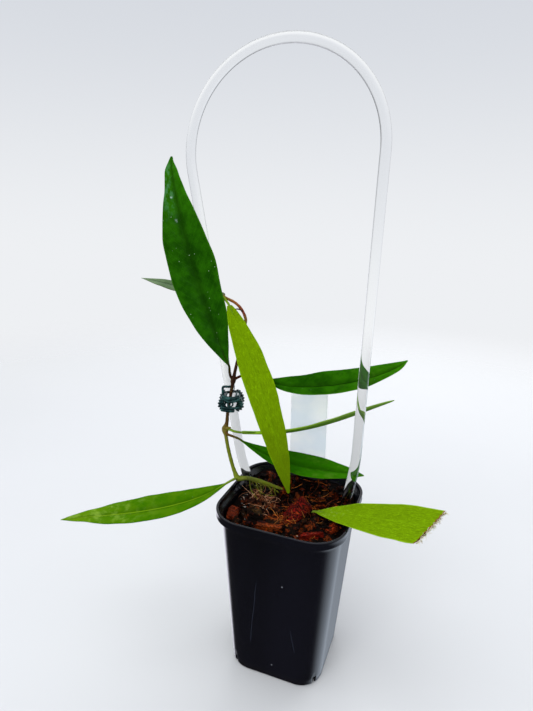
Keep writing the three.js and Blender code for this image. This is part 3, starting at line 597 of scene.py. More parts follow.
def bark_slab(at, size, turn, tilt, seed, rows=44, columns=72):
    """A chip along its grain: the section is a rounded oblong, drawn in towards torn ends, with furrows
    that run the chip's length. The furrows are lumps stretched along the grain."""
    s = np.linspace(-1, 1, rows)[:, None]
    angle = np.linspace(0, 2 * np.pi, columns, endpoint=False)[None]
    across = np.sign(np.cos(angle)) * abs(np.cos(angle)) ** 0.35
    over = np.sign(np.sin(angle)) * abs(np.sin(angle)) ** 0.35
    furrow = 0.13 * abs(lumps(s * 1.5 + seed, angle * 5, 1.0, seed))
    furrow = furrow + 0.07 * lumps(s * 3.0, angle * 11, 1.0, seed + 50)
    torn = 0.93 + 0.13 * lumps(np.sign(s) * 7.0 + seed, angle * 4.5, 0.6, seed + 9)
    narrow = 0.90 - 0.16 * abs(lumps(s * 1.8, seed + 0.0 * s, 1.0, seed + 3)) - 0.10 * s ** 2
    end = np.sqrt(np.clip(1 - abs(s) ** 20, 0.0, 1))
    slant, widening = np.random.default_rng(seed).uniform(-0.45, 0.45, 2)
    y = across * size[1] / 2 * (narrow - furrow) * (1 + widening * s) / (1 + abs(widening)) * (0.5 + 0.5 * end)
    x = s * size[0] / 2 * torn * 0.96 + slant * y
    z = over * size[2] / 2 * (0.95 - 1.6 * furrow) * (0.5 + 0.5 * end)
    body = np.stack(np.broadcast_arrays(x, y, z), -1).reshape(-1, 3)
    ends = [[body[:columns, 0].mean(), 0, 0], [body[-columns:, 0].mean(), 0, 0]]
    body = np.concatenate([body, ends])
    spin = turned([[math.radians(tilt[0]), math.radians(tilt[1]), math.radians(turn)]])[0]
    points = body @ spin.T + [at[0], at[1], RIM + at[2]]
    uv = np.stack(np.broadcast_arrays(s * size[0] / 2, angle * 1.4), -1).reshape(-1, 2) + seed
    return points, closed_skin(rows, columns), np.concatenate([uv, uv[:2]])


for seed, (node, at, size, turn, tilt, tint) in enumerate(BARK, 40):
    points, faces, uv = bark_slab(at, size, turn, tilt, seed)
    colour = np.repeat([srgb(*tint)], len(points), 0)
    slab = make_piece(
        node.replace("chip", "slab"), points, faces, bark_finish, uv=uv, marks={"tint": colour}, smooth=False)
    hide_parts(node)
    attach(slab, "root")


# ---------------------------------------------------------------- trellis rod
# One length of clear acrylic rod, heated and bent to an arch. Both legs lean out as they rise and turn
# inwards again where they are pushed down inside the pot.
ROD_RADIUS, ARCH_RADIUS, ARCH_HEIGHT = 2.65, 50.9, 179.2
LEG_LEAN, LEG_LENGTH, FOOT_BEND, FOOT_BEND_RADIUS, FOOT_LENGTH = 6.5, 149.0, 8.0, 106.0, 46.0
ROD_LEAN, ROD_TILT, ROD_SHIFT, ROD_STANDS_AT = 5.0, 6.6, 0.7, 7.5
ARCH_STEPS, LEG_STEPS, BEND_STEPS, FOOT_STEPS, ROD_STEPS, ROD_SIDES = 360, 20, 60, 8, 700, 96
DOME = np.radians([90, 65, 40, 18])     # the angles of a domed end's rings


def rod_line():
    """Half of the arch's outline is a quarter circle and a little more, then a straight leg, then a bend of
    the foot. It is mirrored, tilted sideways and leaned back."""
    lean, foot = math.radians(LEG_LEAN), math.radians(LEG_LEAN + FOOT_BEND)
    turn = np.linspace(math.pi / 2, -lean, ARCH_STEPS)
    arch = np.stack([ARCH_RADIUS * np.cos(turn), ARCH_HEIGHT + ARCH_RADIUS * np.sin(turn)], -1)
    way = np.concatenate([np.full(LEG_STEPS, lean), np.linspace(lean, foot, BEND_STEPS), np.full(FOOT_STEPS, foot)])
    lengths = [LEG_LENGTH / LEG_STEPS, FOOT_BEND_RADIUS * (foot - lean) / BEND_STEPS, FOOT_LENGTH / FOOT_STEPS]
    step = np.repeat(lengths, [LEG_STEPS, BEND_STEPS, FOOT_STEPS])
    leg = arch[-1] - np.cumsum(np.stack([np.sin(way) * step, np.cos(way) * step], -1), 0)
    half = np.concatenate([arch, leg])
    outline = np.concatenate([half[:0:-1] * [-1, 1], half])
    tilt, back = math.radians(ROD_TILT), math.radians(ROD_LEAN)
    across = outline[:, 0] * math.cos(tilt) - outline[:, 1] * math.sin(tilt) + ROD_SHIFT
    along = outline[:, 0] * math.sin(tilt) + outline[:, 1] * math.cos(tilt)
    return np.stack([across, ROD_STANDS_AT + along * math.sin(back), RIM + along * math.cos(back)], -1)


def evenly(line, count):
    """The same line with its points spaced evenly along its length, and the distance along it."""
    reach = np.concatenate([[0], np.cumsum(np.linalg.norm(np.diff(line, axis=0), axis=1))])
    at = np.linspace(0, reach[-1], count)
    return np.stack([np.interp(at, reach, line[:, k]) for k in range(3)], -1), at


def tube(line, radius, reference, sides):
    """A round tube with domed ends: at each point of the line a circle stands square to it, on the two
    directions that the reference direction gives. The ends draw in as a quarter circle does."""
    line, radius = np.asarray(line, float), np.broadcast_to(radius, len(line)).astype(float)
    way = np.gradient(line, axis=0)
    way /= np.linalg.norm(way, axis=1, keepdims=True)
    rise, narrow = np.sin(DOME)[:, None], np.maximum(np.cos(DOME), 0.02)
    line = np.concatenate([line[0] - way[0] * radius[0] * rise, line, line[-1] + way[-1] * radius[-1] * rise[::-1]])
    radius = np.concatenate([radius[0] * narrow, radius, radius[-1] * narrow[::-1]])
    way = np.concatenate([np.repeat(way[:1], len(DOME), 0), way, np.repeat(way[-1:], len(DOME), 0)])
    side = np.cross(way, reference)
    side /= np.linalg.norm(side, axis=1, keepdims=True)
    over = np.cross(way, side)
    angle = np.arange(sides) * 2 * np.pi / sides
    ring = side[:, None] * np.cos(angle)[:, None] + over[:, None] * np.sin(angle)[:, None]
    points = line[:, None] + ring * radius[:, None, None]
    return np.concatenate([points.reshape(-1, 3), [line[0], line[-1]]]), closed_skin(len(line), sides)


def along_tube(share, sides):
    """A number for each point of a tube: its share along the line, 0 on the first dome and 1 on the last."""
    rings = np.concatenate([np.zeros(len(DOME)), share, np.ones(len(DOME))])
    return np.concatenate([np.repeat(rings, sides), [0, 1]])


def clear_acrylic():
    """Clear acrylic rod, polished, with the faint drag lines of its extrusion."""
    look = Finish("clear acrylic")
    drag = look.noise(look.stretched(look.place(), (900.0, 900.0, 30.0)), 1.0, 2.0)
    return look.surface(Base_Color=(0.995, 0.998, 1.0), Roughness=drag * 0.004, IOR=1.49, Transmission_Weight=1.0)


line, _ = evenly(rod_line(), ROD_STEPS)
rod_side = np.array([0.0, math.cos(math.radians(ROD_LEAN)), -math.sin(math.radians(ROD_LEAN))])
rod = make_piece("clear_arch", *tube(line, ROD_RADIUS, rod_side, ROD_SIDES), clear_acrylic())
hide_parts("trellis_rod")
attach(rod, "root")


# ---------------------------------------------------------------- vine
# The living stem: olive where it runs over the rim from its roots, brown where it climbs past the clip,
# and wine red where it arches over at the top. It swells at each joint and puts out thin roots below.
JOINTS = {"rim": (-32.6, 1.8, 3.2), "low": (-42, 5, 30), "high": (-38.4, 7.5, 59), "top": (-48.5, 15, 102.5)}
JOINT_SWELLING = {"rim": (0.55, 2.2), "low": (0.95, 1.7), "high": (0.6, 1.6), "top": (0.5, 1.4)}
VINE_LINE = (
    (-3, 17.5, -16), (-5.6, 15, -8), (-8.9, 12.9, -5), (-17, 9.1, -1), (-22.8, 7.2, 1), (-27.7, 3.6, 3.2),
    JOINTS["rim"], (-34.8, 2.2, 6.5), (-36.6, 2.6, 10.8), (-39.4, 3.4, 19.4), (-41.3, 4.3, 27), JOINTS["low"],
    (-41.2, 5.3, 34), (-40.8, 5.6, 40), (-39.1, 6.4, 52.5), JOINTS["high"], (-37.8, 9, 65), (-37.3, 10.8, 70),
    (-36.2, 12.6, 79), (-34.8, 14, 88), (-34.6, 14.6, 91.7), (-37.1, 15, 96.6), (-40.8, 15.2, 99.8),
    (-45, 15.1, 101.6), JOINTS["top"],
)
AERIAL_ROOTS = (
    ((-24, 7.1, 0.4), (-21.5, 5.5, -3.5), (-17.5, 5, -5.6), (-12, 7, -6.2), (-7.5, 9.5, -7.5)),
    ((-27, 5.6, 1.6), (-25.5, 3.5, -2.5), (-22.5, 1.5, -5), (-18, 0.5, -8)),
    ((-14, 10.5, -3), (-12.5, 8.5, -5.5), (-9.5, 6, -8)),
)
TENDRIL = ((-36.3, 15, 95.4), (-37.0, 13.8, 96.6), (-38.8, 13.2, 97.2), (-40.6, 13.2, 96.9))
BUD = ((-41, 4.6, 30.8), (-40, 4.2, 31.4), (-38.6, 4.1, 31.9))
STEM_REFERENCE = (0.25, -0.95, 0.18)
STEM_STEPS, STEM_SIDES = 420, 18


def smooth_line(knots, count):
    """A line through all the knots: each span is a cubic whose slopes at its ends come from its neighbours,
    weighed by the square root of the distance between knots."""
    p = np.asarray(knots, float) + [0, 0, RIM]
    p = np.vstack([2 * p[0] - p[1], p, 2 * p[-1] - p[-2]])
    gap = np.linalg.norm(np.diff(p, axis=0), axis=1) ** 0.5
    at = np.linspace(0, len(knots) - 1, count * 4)
    i = np.minimum(at.astype(int), len(knots) - 2)
    s = (at - i)[:, None]
    a, b, c, d = p[i], p[i + 1], p[i + 2], p[i + 3]
    before, here, after = gap[i][:, None], gap[i + 1][:, None], gap[i + 2][:, None]
    leave = ((b - a) / before - (c - a) / (before + here) + (c - b) / here) * here
    arrive = ((c - b) / here - (d - b) / (here + after) + (d - c) / after) * here
    line = (2 * b - 2 * c + leave + arrive) * s ** 3 + (3 * c - 3 * b - 2 * leave - arrive) * s ** 2 + leave * s + b
    return evenly(line, count)


def stem_radius(line, at):
    """The stem thins from 1.2 to 0.75 mm along its way, more so at its root end, and swells as a bell curve
    does at each joint."""
    u = at / at[-1]
    radius = np.where(u < 0.3, 1.2 - 0.15 * u / 0.3, 1.05 - 0.3 * (u - 0.3) / 0.7)
    rooted = np.clip((u - 0.06) / 0.14, 0, 1)
    radius = radius * (0.55 + 0.45 * rooted ** 2 * (3 - 2 * rooted))
    for name, (swell, spread) in JOINT_SWELLING.items():
        away = np.linalg.norm(line - (np.array(JOINTS[name]) + [0, 0, RIM]), axis=1)
        radius = radius + swell * np.exp(-0.5 * (away / spread) ** 2)
    return radius + 0.05 * np.sin(at * 1.7) * np.sin(at * 0.63)


def vine_bark():
    """Stem skin, coloured by height along the stem, with fine ribs and darker flecks."""
    look = Finish("vine skin")
    place = look.place()
    along = look.mark("along")
    colour = look.ramp(
        along, (0.0, srgb(118, 122, 36)), (0.16, srgb(108, 120, 30)), (0.235, srgb(96, 106, 42)),
        (0.28, srgb(116, 132, 34)), (0.41, srgb(112, 122, 34)), (0.46, srgb(118, 108, 44)), (0.49, srgb(84, 62, 30)),
        (0.57, srgb(62, 40, 24)), (0.66, srgb(48, 28, 22)), (0.80, srgb(70, 44, 26)), (0.86, srgb(122, 112, 48)),
        (0.90, srgb(110, 44, 34)), (0.96, srgb(148, 92, 44)), (1.0, srgb(120, 104, 40)))
    fleck = look.noise(place, 850.0, 4.0, 0.6)
    colour = look.mix(fleck.step(0.56, 0.7) * 0.5, colour, srgb(52, 38, 24))
    colour = look.mix(fleck.step(0.44, 0.3) * 0.35, colour, srgb(168, 160, 92))
    ribs = look.noise(look.stretched(place, (1.0, 1.0, 0.25)), 1400.0, 2.0)
    return look.surface(
        Base_Color=colour, Roughness=fleck * 0.25 + 0.42, Specular_IOR_Level=0.06, Normal=look.bump(ribs, 0.12))


def joined(parts):
    """Several (points, faces) as one, with the faces renumbered."""
    start, points, faces = 0, [], []
    for some_points, some_faces in parts:
        points.append(some_points)
        faces += [part + start for part in some_faces]
        start += len(some_points)
    return np.concatenate(points), faces


def fine_roots(line, count, seed):
    """Thin roots from the underside of the stem between the rim and the mix: they fan out downwards."""
    random = np.random.default_rng(seed)
    over = line[(line[:, 0] > -28) & (line[:, 0] < -11) & (line[:, 2] < RIM + 4)]
    start = over[random.integers(0, len(over), count)] - [0, 0, 0.9]
    heading = np.stack([random.normal(-0.4, 0.5, count), random.normal(-0.40, 0.2, count)], -1)
    bend = np.stack([random.normal(0, 0.9, count), random.normal(0.25, 0.3, count)], -1)
    length, radius = random.uniform(5, 12, count), random.uniform(0.08, 0.17, count)
    points, faces = strands(start, heading, length, bend, radius, steps=10)
    return points, [faces]


def shoot(knots, thick, thin, reference, steps, sides):
    """A small tapered tube through its knots, for a bud, a root or a tendril."""
    line, _ = smooth_line(knots, steps)
    return tube(line, np.linspace(thick, thin, steps), reference, sides)


def vine_surface():
    """The stem, its bud, roots and tendril, and for each point its share of the stem's colours: along the
    stem itself it is the distance from the root end, and each small part has one share."""
    line, at = smooth_line(VINE_LINE, STEM_STEPS)
    stem = tube(line, stem_radius(line, at), STEM_REFERENCE, STEM_SIDES)
    parts = [(shoot(BUD, 1.15, 0.5, STEM_REFERENCE, 10, 12), 0.46)]
    for number, knots in enumerate(AERIAL_ROOTS):
        parts.append((shoot(knots, 0.22, 0.11, (0.2, 0.1, 1.0), 26, 8), 0.05 + 0.05 * number))
    parts.append((fine_roots(line, count=17, seed=17), 0.02))
    parts.append((shoot(TENDRIL, 0.45, 0.28, (0.1, -0.9, 0.3), 18, 8), 0.7))
    marks = [along_tube(at / at[-1], STEM_SIDES), *(np.full(len(part[0]), share) for part, share in parts)]
    return joined([stem, *(part for part, _ in parts)]), np.concatenate(marks)


(points, faces), along = vine_surface()
vine = make_piece("vine", points, faces, vine_bark(), marks={"along": along})
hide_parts("vine_stem")
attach(vine, "root")


# ---------------------------------------------------------------- leaves
# Stiff, waxy, long pointed leaves in pairs from the joints, each on a short stalk. The upper side is
# satin with a groove along the midrib; the underside is paler and dull, with a raised midrib.
LEAF_THICK, GROOVE_DEEP, KEEL_HIGH, KEEL_WIDE = 0.62, 0.22, 0.34, 0.07
LEAF_ROWS, LEAF_COLUMNS, STALK_STEPS, STALK_SIDES = 150, 44, 46, 12

# For each leaf: line is the centre line's two ends and, between them, its two handles; face is the way that the
# upper side looks; twist and fold are in degrees; stalk is its way from the joint; swell, taper and nose shape the
# outline (half_width), and arch, quilt, wave and wavy its surface (blade). Tones run from 0 to 255: upper is a
# dark and a light one, and beside the tone of the rib and of the margin stands how strongly it shows. Some tones
# are painted light: the dark ribs of leaf_edge_on and leaf_high_right are painted shade in the midrib groove,
# leaf_edge_on's pale band is a painted highlight, the patches are painted pale highlights, and the streaks are
# painted glints.
LEAVES = {
    # leaf_tall_left: its streaks are painted glints near the tip
    "leaf_tall_left": dict(
        slot="leaf_dark", line=((-40, 6.5, 65.7), (-58.2, 11.4, 95), (-77, 10.3, 156), (-74.8, 10, 174)),
        stalk=(JOINTS["high"], (-39.6, 6.9, 60.6), (-40.2, 6.5, 63.2)), face=(0.01, -1, 0.06), twist=20, fold=10,
        width=28.4, swell=1.32, taper=1.65, nose=5.5, arch=0.05, quilt=0.16, wave=0.35, wavy=0.6,
        upper=((20, 68, 1), (50, 120, 6)), lower=(104, 140, 12), stem=(48, 26, 14), rib=((22, 58, 4), 0.3),
        margin=((70, 126, 20), 0.4), coat=0.12, sheen=0.04, specks=1.0,
        glint_streaks=((0.745, -0.48, 0.85), (0.64, -0.28, 0.35))),     # along, across, brightness
    "leaf_hanging": dict(
        slot="leaf_pale", line=((-42.8, 10, 100.7), (-22.2, 1.6, 65.7), (-10.7, -4, 44.5), (0.3, -6, 4.7)),
        stalk=(JOINTS["top"], (-47, 12.6, 102.8), (-45, 10.8, 102.2)), face=(-0.74, 0.52, -0.43), twist=-3, fold=-4,
        width=18, swell=0.6, taper=0.76, nose=0, arch=0.03, quilt=0.04, wave=0.25,
        upper=((50, 104, 4), (72, 124, 8)), lower=(128, 170, 6), stem=(124, 150, 40), rib=((112, 156, 10), 0.3),
        margin=((140, 186, 20), 0.5), coat=0.0, sheen=0.0, specks=0.0, fading=0.55),
    "leaf_far_back": dict(
        slot="leaf_mid", line=((-62, 25, 102.6), (-76, 29.5, 101), (-100, 37, 103.4), (-118, 42, 103.8)),
        stalk=(JOINTS["top"], (-49.3, 18.5, 103), (-52, 22.2, 103)), face=(0.02, -0.29, 0.96), twist=0, fold=6,
        width=12, swell=0.8, taper=1.2, nose=0, arch=0.02, quilt=0.04, wave=0.2,
        upper=((70, 94, 58), (108, 132, 94)), lower=(92, 116, 80), stem=(90, 96, 50), rib=((40, 66, 40), 0.8),
        margin=((74, 62, 40), 0.6), coat=0.03, sheen=0.03, specks=0.0),
    "leaf_cut": dict(
        slot="leaf_pale", line=((12.2, 0.6, -6.3), (41.2, -11, 7.1), (77.8, -24.2, 14.4), (102, -38, 28.9)),
        stalk=((5, 3.2, -17), (7, 2.6, -12.5), (9.5, 1.6, -8.3)), face=(0.24, 0.2, -0.95), twist=4, fold=-4,
        width=24, swell=1.05, taper=0.84, nose=0, arch=0.03, quilt=0.05, wave=0.3, cut=(0.63, 0.675),
        upper=((60, 108, 6), (80, 126, 10)), lower=(118, 158, 8), stem=(120, 130, 50), rib=((124, 168, 14), 0.25),
        margin=((146, 184, 26), 0.6), coat=0.0, sheen=0.0, specks=0.0),
    # leaf_low_left, leaf_low_right and leaf_high_right: their patches are painted pale highlights
    "leaf_low_left": dict(
        slot="leaf_mid", line=((-35.8, -4.2, 3), (-56.5, -16.5, -15.3), (-96.5, -31.5, -17.2), (-118.7, -45, -17.8)),
        stalk=(JOINTS["rim"], (-33.3, -0.4, 3.7), (-34.3, -2.4, 3.6)), face=(-0.15, -0.12, 0.98), twist=1, fold=8,
        width=24.5, swell=1.07, taper=1.27, nose=1.5, arch=0.06, quilt=0.13, wave=0.4,
        upper=((54, 104, 1), (92, 130, 12)), lower=(112, 146, 14), stem=(118, 140, 48), rib=((124, 160, 26), 0.55),
        margin=((40, 86, 2), 0.6), coat=0.01, sheen=0.0, specks=0.25, highlight_patches=0.55),
    # leaf_edge_on: its pale margin band, set well in from the edges, is a painted highlight on its lit upper strip,
    # and its dark rib is painted shade in the midrib groove
    "leaf_edge_on": dict(
        slot="leaf_mid", line=((-33.6, 6, 29.2), (3.6, 14.2, 31.2), (15.1, 23.5, 36.9), (46.1, 33, 52)),
        stalk=(JOINTS["low"], (-39.2, 4.6, 30.5), (-36.4, 4.8, 29.8)), face=(-0.35, 0.3, 0.87), twist=0, fold=11,
        width=21, swell=1.9, taper=0.85, nose=0, arch=0.04, quilt=0.05, wave=0.2, stout=(1.6, 0.32),
        upper=((72, 126, 12), (104, 152, 20)), lower=(104, 156, 34), stem=(122, 154, 46), rib=((28, 66, 8), 0.8),
        margin=((138, 182, 44), 0.9), band_at=(0.40, 0.75), coat=0.01, sheen=0.02, specks=0.0),
    "leaf_low_right": dict(
        slot="leaf_dark", line=((-34.2, 5, 26.1), (-11.7, 11.6, 8.1), (9.1, 19.5, 9.1), (34.3, 26, 6.9)),
        stalk=(JOINTS["low"], (-40, 3.4, 28.1), (-37.4, 3.9, 27.2)), face=(0.29, -0.08, 0.95), twist=-11, fold=10,
        width=20.6, swell=1.18, taper=1.12, nose=2, arch=0.08, quilt=0.10, wave=0.3,
        upper=((32, 91, 1), (50, 116, 4)), lower=(100, 136, 16), stem=(96, 70, 34), rib=((26, 76, 1), 0.6),
        margin=((74, 134, 10), 0.4), coat=0.01, sheen=0.0, specks=0.2, highlight_patches=0.12),
    # leaf_high_right: its dark rib is painted shade in the midrib groove
    "leaf_high_right": dict(
        slot="leaf_dark", line=((-23.4, 12, 60.6), (-14.5, 20.7, 48.8), (38, 27.1, 59.7), (50.1, 36, 74.3)),
        stalk=(JOINTS["high"], (-35.6, 8.1, 60.8), (-33.2, 9.4, 61.9), (-28.6, 10.8, 61.9)),
        face=(-0.11, -0.23, 0.97), twist=0, fold=12,
        width=25, swell=1.18, taper=1.1, nose=1, arch=0.12, quilt=0.12, wave=0.35,
        upper=((20, 66, 1), (52, 118, 5)), lower=(98, 134, 14), stem=(62, 34, 24), rib=((10, 38, 1), 0.85),
        margin=((66, 124, 12), 0.5), coat=0.012, sheen=0.0, specks=0.35, highlight_patches=0.06),
}


def unit(vectors):
    """The same directions, each one long."""
    return vectors / np.linalg.norm(vectors, axis=-1, keepdims=True)


def centre_line(line, t):
    """The cubic curve from base to tip with two handles, and the direction that it runs in."""
    p = np.asarray(line, float) + [0, 0, RIM]
    t = np.asarray(t, float)[..., None]
    place = (1 - t) ** 3 * p[0] + 3 * (1 - t) ** 2 * t * p[1] + 3 * (1 - t) * t ** 2 * p[2] + t ** 3 * p[3]
    way = (1 - t) ** 2 * (p[1] - p[0]) + 2 * (1 - t) * t * (p[2] - p[1]) + t ** 2 * (p[3] - p[2])
    return place, unit(way)


def half_width(plan, t):
    """The blade's half width at t, from base to tip, in millimetres: width / 2 * t^swell * (1 - t)^taper,
    scaled to 1 at its widest. The nose makes the last fifth blunter."""
    swell, taper = plan["swell"], plan["taper"]
    widest = swell / (swell + taper)
    near_tip = np.clip((t - 0.76) / 0.17, 0, 1)
    return (plan["width"] / 2 * (t ** swell * (1 - t) ** taper) / (widest ** swell * (1 - widest) ** taper)
            + plan["nose"] * np.sqrt(1 - t) * near_tip ** 2 * (3 - 2 * near_tip))


def facing(plan, way):
    """At each point of a blade's centre line, the direction that the upper side looks in: the leaf's own
    facing, made square to the line."""
    looks = np.array(plan["face"], float)
    return unit(looks - way * (way @ looks)[..., None])


def blade(plan, seed):
    """A blade as one closed sheet on its centre line. Both halves are lifted by the fold and swell up between
    midrib and margin by the arch, with ripples between the side veins, and the whole twists. The thickness
    is half round at the edges, grooved on top and keeled below; a stout blade's base is thicker, by a bell
    curve. With the points come how far along and across each lies, how far it is on the upper side, and its
    share of the blade's length."""
    cut = plan.get("cut", (1, 1))
    share = 0.012 + 0.98 * (0.5 - 0.5 * np.cos(np.pi * np.linspace(0, 1, LEAF_ROWS)))[:, None]
    angle = np.linspace(0, 2 * np.pi, 2 * LEAF_COLUMNS, endpoint=False)[None]
    v, side_sign = np.cos(angle), np.sin(angle)
    ragged = 0.006 * lumps(v * 12, seed, 1.0, seed + 5) * (cut[1] < 1)
    t = share * (cut[0] + (cut[1] - cut[0]) * (v + 1) / 2 + ragged * share ** 8)
    centre, way = centre_line(plan["line"], t)
    up = facing(plan, way)
    turn = np.radians(plan["twist"]) * (0.5 - t)[..., None]
    up = up * np.cos(turn) + np.cross(way, up) * np.sin(turn)
    side = np.cross(way, up)
    half = half_width(plan, t)
    length = np.linalg.norm(np.array(plan["line"][3]) - plan["line"][0])
    edge = v ** 6 * (lumps(t * length, np.sign(v) * 3 + seed, 6.0, seed) * 0.28
                     + lumps(t * length, np.sign(v) * 3 + seed, 13.0, seed + 4) * plan.get("wavy", 0.2))
    reach = v * (half + edge * (half > 1.2))
    fold = math.radians(plan["fold"])
    wave = plan["wave"] * v ** 2 * lumps(t * length, v * 2 + seed, 9.0, seed + 1) * np.clip(half / 6, 0, 1)
    ripple = np.sin((t * length - abs(v) * half * 0.9) * 0.95 + 2 * lumps(t * length, v + seed, 12.0, seed + 2))
    quilt = plan["quilt"] * ripple * (1 - v ** 2) * abs(v) ** 0.5 * np.clip(half / 5, 0, 1)
    swollen = plan["arch"] * half * 4 * abs(v) * (1 - abs(v))
    lift = abs(v) * half * math.sin(fold) + wave + quilt + swollen
    stout, stout_reach = plan.get("stout", (0, 1))
    thick = np.minimum(LEAF_THICK, 0.25 + half * 0.12) + stout * np.exp(-(t / stout_reach) ** 2)
    body = thick / 2 * np.sign(side_sign) * abs(side_sign) ** 0.7
    rib = np.exp(-(v / KEEL_WIDE) ** 2) * (1 - 0.8 * t)
    body = body + np.where(side_sign > 0, -GROOVE_DEEP, -KEEL_HIGH) * rib * np.clip(half / 3, 0, 1)
    points = centre + side * (reach * math.cos(fold))[..., None] + up * (lift + body)[..., None]
    top = np.broadcast_to(np.clip(side_sign * 6 + 0.5, 0, 1), t.shape)
    uv = np.stack([t, np.broadcast_to(v, t.shape)], -1)
    rows, columns = t.shape
    points, uv, top = points.reshape(-1, 3), uv.reshape(-1, 2), top.reshape(-1)
    first, last = np.arange(columns), (rows - 1) * columns + np.arange(columns)
    mouths = [points[first].mean(0), points[last].mean(0)]
    points = np.concatenate([points, mouths])
    uv = np.concatenate([uv, [[share[0, 0], 0], [uv[last, 0].mean(), 0]]])
    faces = closed_skin(rows, columns, reverse=True)
    share = np.broadcast_to(share, t.shape).reshape(-1)
    return points, faces, uv, np.concatenate([top, [0.5, 0.5]]), np.concatenate([share, [0, 1]])


def leaf_skin(name, plan):
    """Waxy leaf: a dark or light upper side, a paler underside, a midrib line, slanting side veins, blotches,
    and specks of dust where the leaf has them. Painted shade darkens the upper side along the midrib groove, and
    where a leaf has them there are painted pale highlights, painted sheen and painted glints. The stalk has its own
    colour."""
    look = Finish(name + " skin")
    place = look.place()
    along, across, _ = look.split(look.node("ShaderNodeUVMap"))
    top = look.mark("top").step(0.3, 0.7)
    stalk = look.mark("stalk")
    blotch = look.noise(place, 130.0, 4.0, 0.6)
    fine = look.noise(place, 900.0, 3.0, 0.6)
    weave = look.noise(look.node("ShaderNodeCombineXYZ", sockets={0: along * 9.0, 1: across * 16.0}), 3.2, 4.0, 0.65)
    aside = abs(across)
    rows = along * 26.0 - aside * 3.0
    vein = abs(rows.math("FRACT", rows) - 0.5).step(0.10, 0.0) * aside.step(1.0, 0.8) * aside.step(0.04, 0.14)
    rib = aside.step(0.055, 0.018)
    margin = aside.step(*plan.get("band_at", (0.93, 0.985)))
    dark, light = (srgb(*tone) for tone in plan["upper"])
    rib_tone, rib_share = plan["rib"]
    margin_tone, margin_share = plan["margin"]
    upper = look.mix(blotch.step(0.34, 0.66) * 0.4 + along.step(0.50, 0.95) * 0.6, dark, light)
    upper = look.mix(vein * 0.16, upper, light)
    # painted shade: the upper side darkens towards the midrib groove
    groove_shade = aside.step(0.34, 0.05)
    upper = look.mix(groove_shade * 0.35, upper, srgb(*(tone * 0.62 for tone in plan["upper"][0])))
    # painted highlights: pale patches on the upper side towards the tip
    if "highlight_patches" in plan:
        pale_highlight_mask = look.noise(place, 190.0, 4.0, 0.62).step(0.46, 0.70) * along.step(0.35, 0.75) * plan["highlight_patches"]
        upper = look.mix(pale_highlight_mask, upper, srgb(134, 166, 62))
    lower = plan["lower"]
    under = look.mix(weave.step(0.38, 0.62), srgb(*(tone * 0.74 for tone in lower)), srgb(*lower))
    under = look.mix(blotch.step(0.50, 0.62) * 0.40, under, srgb(*(tone * 0.78 for tone in lower)))
    under = look.mix(fine.step(0.54, 0.70) * 0.30, under, srgb(*(min(255, tone * 1.18 + 14) for tone in lower)))
    if "fading" in plan:
        under = look.mix(along.step(0.50, 1.0) * plan["fading"], under, srgb(86, 104, 8))
    colour = look.mix(top, under, upper)
    # painted shade: the dark rib tones of leaf_edge_on and leaf_high_right stand for shade in the midrib groove
    colour = look.mix(rib * rib_share, colour, srgb(*rib_tone))
    # painted highlight: on leaf_edge_on this band, well in from the edges, stands for its lit upper strip
    colour = look.mix(margin * margin_share, colour, srgb(*margin_tone))
    if plan["specks"]:
        spots = look.cells(place, 300.0).step(0.085, 0.045) * look.noise(place, 75.0).step(0.44, 0.56)
        colour = look.mix(spots * top * (0.8 * plan["specks"]), colour, srgb(170, 198, 160))
    # painted sheen: pale patches near the tip of the upper side; painted glints: short pale streaks at the given
    # places
    if "glint_streaks" in plan:
        shine = look.noise(look.stretched(place, (420.0, 420.0, 230.0)), 1.0, 3.0, 0.6).step(0.46, 0.62)
        sheen_lobe = along.step(0.62, 0.78) * along.step(0.97, 0.88) * across.step(0.02, -0.30)
        colour = look.mix(shine * sheen_lobe * top * 0.34, colour, srgb(104, 168, 118))
        for streak_along, streak_across, bright in plan["glint_streaks"]:
            reach = ((along - streak_along - fine * 0.016) * 105.0) ** 2 + ((across - streak_across) * 3.6) ** 2
            colour = look.mix(reach.step(1.0, 0.0) * shine * top * bright, colour, srgb(186, 214, 206))
    if "cut" in plan:
        share = look.mark("share")
        scurf = look.noise(place, 650.0, 3.0, 0.7).step(0.56, 0.64) * share.step(0.42, 0.05)
        colour = look.mix(share.step(0.30, 0.02) * 0.35, colour, srgb(86, 122, 20))
        colour = look.mix(scurf * 0.42, colour, srgb(178, 200, 98))
        colour = look.mix((share + fine * 0.008).step(0.989, 0.994), colour, srgb(134, 84, 36))
    colour = look.mix(stalk, colour, srgb(*plan["stem"]))
    rough = blotch * 0.12 + 0.54 - top * 0.26
    height = fine * 0.35 + vein * top * -0.5 + weave * 0.3
    return look.surface(
        Base_Color=colour, Roughness=rough, IOR=1.45, Specular_IOR_Level=plan["sheen"],
        Coat_Weight=top * plan["coat"] if plan["coat"] else 0.0, Coat_Roughness=0.16,
        Normal=look.bump(height, 0.09))


def stalk_surface(plan):
    """The stalk runs from the joint into the blade's base, thinning as it goes. The second thing returned is
    each step's share of its length."""
    inside, _ = centre_line(plan["line"], np.array([0.01, 0.05, 0.09]))
    knots = [*plan["stalk"], *(inside - [0, 0, RIM])]
    line, at = smooth_line(knots, STALK_STEPS)
    level = abs(knots[0][2] - knots[-1][2]) < 6
    reference = (0.3, 0.2, 0.93) if level else (0.2, -0.97, 0.1)
    return tube(line, 0.78 - 0.3 * at / at[-1], reference, STALK_SIDES), at / at[-1]


TORN_TINTS = tints((232, 228, 206), (204, 196, 160), (112, 138, 40), (150, 116, 64))


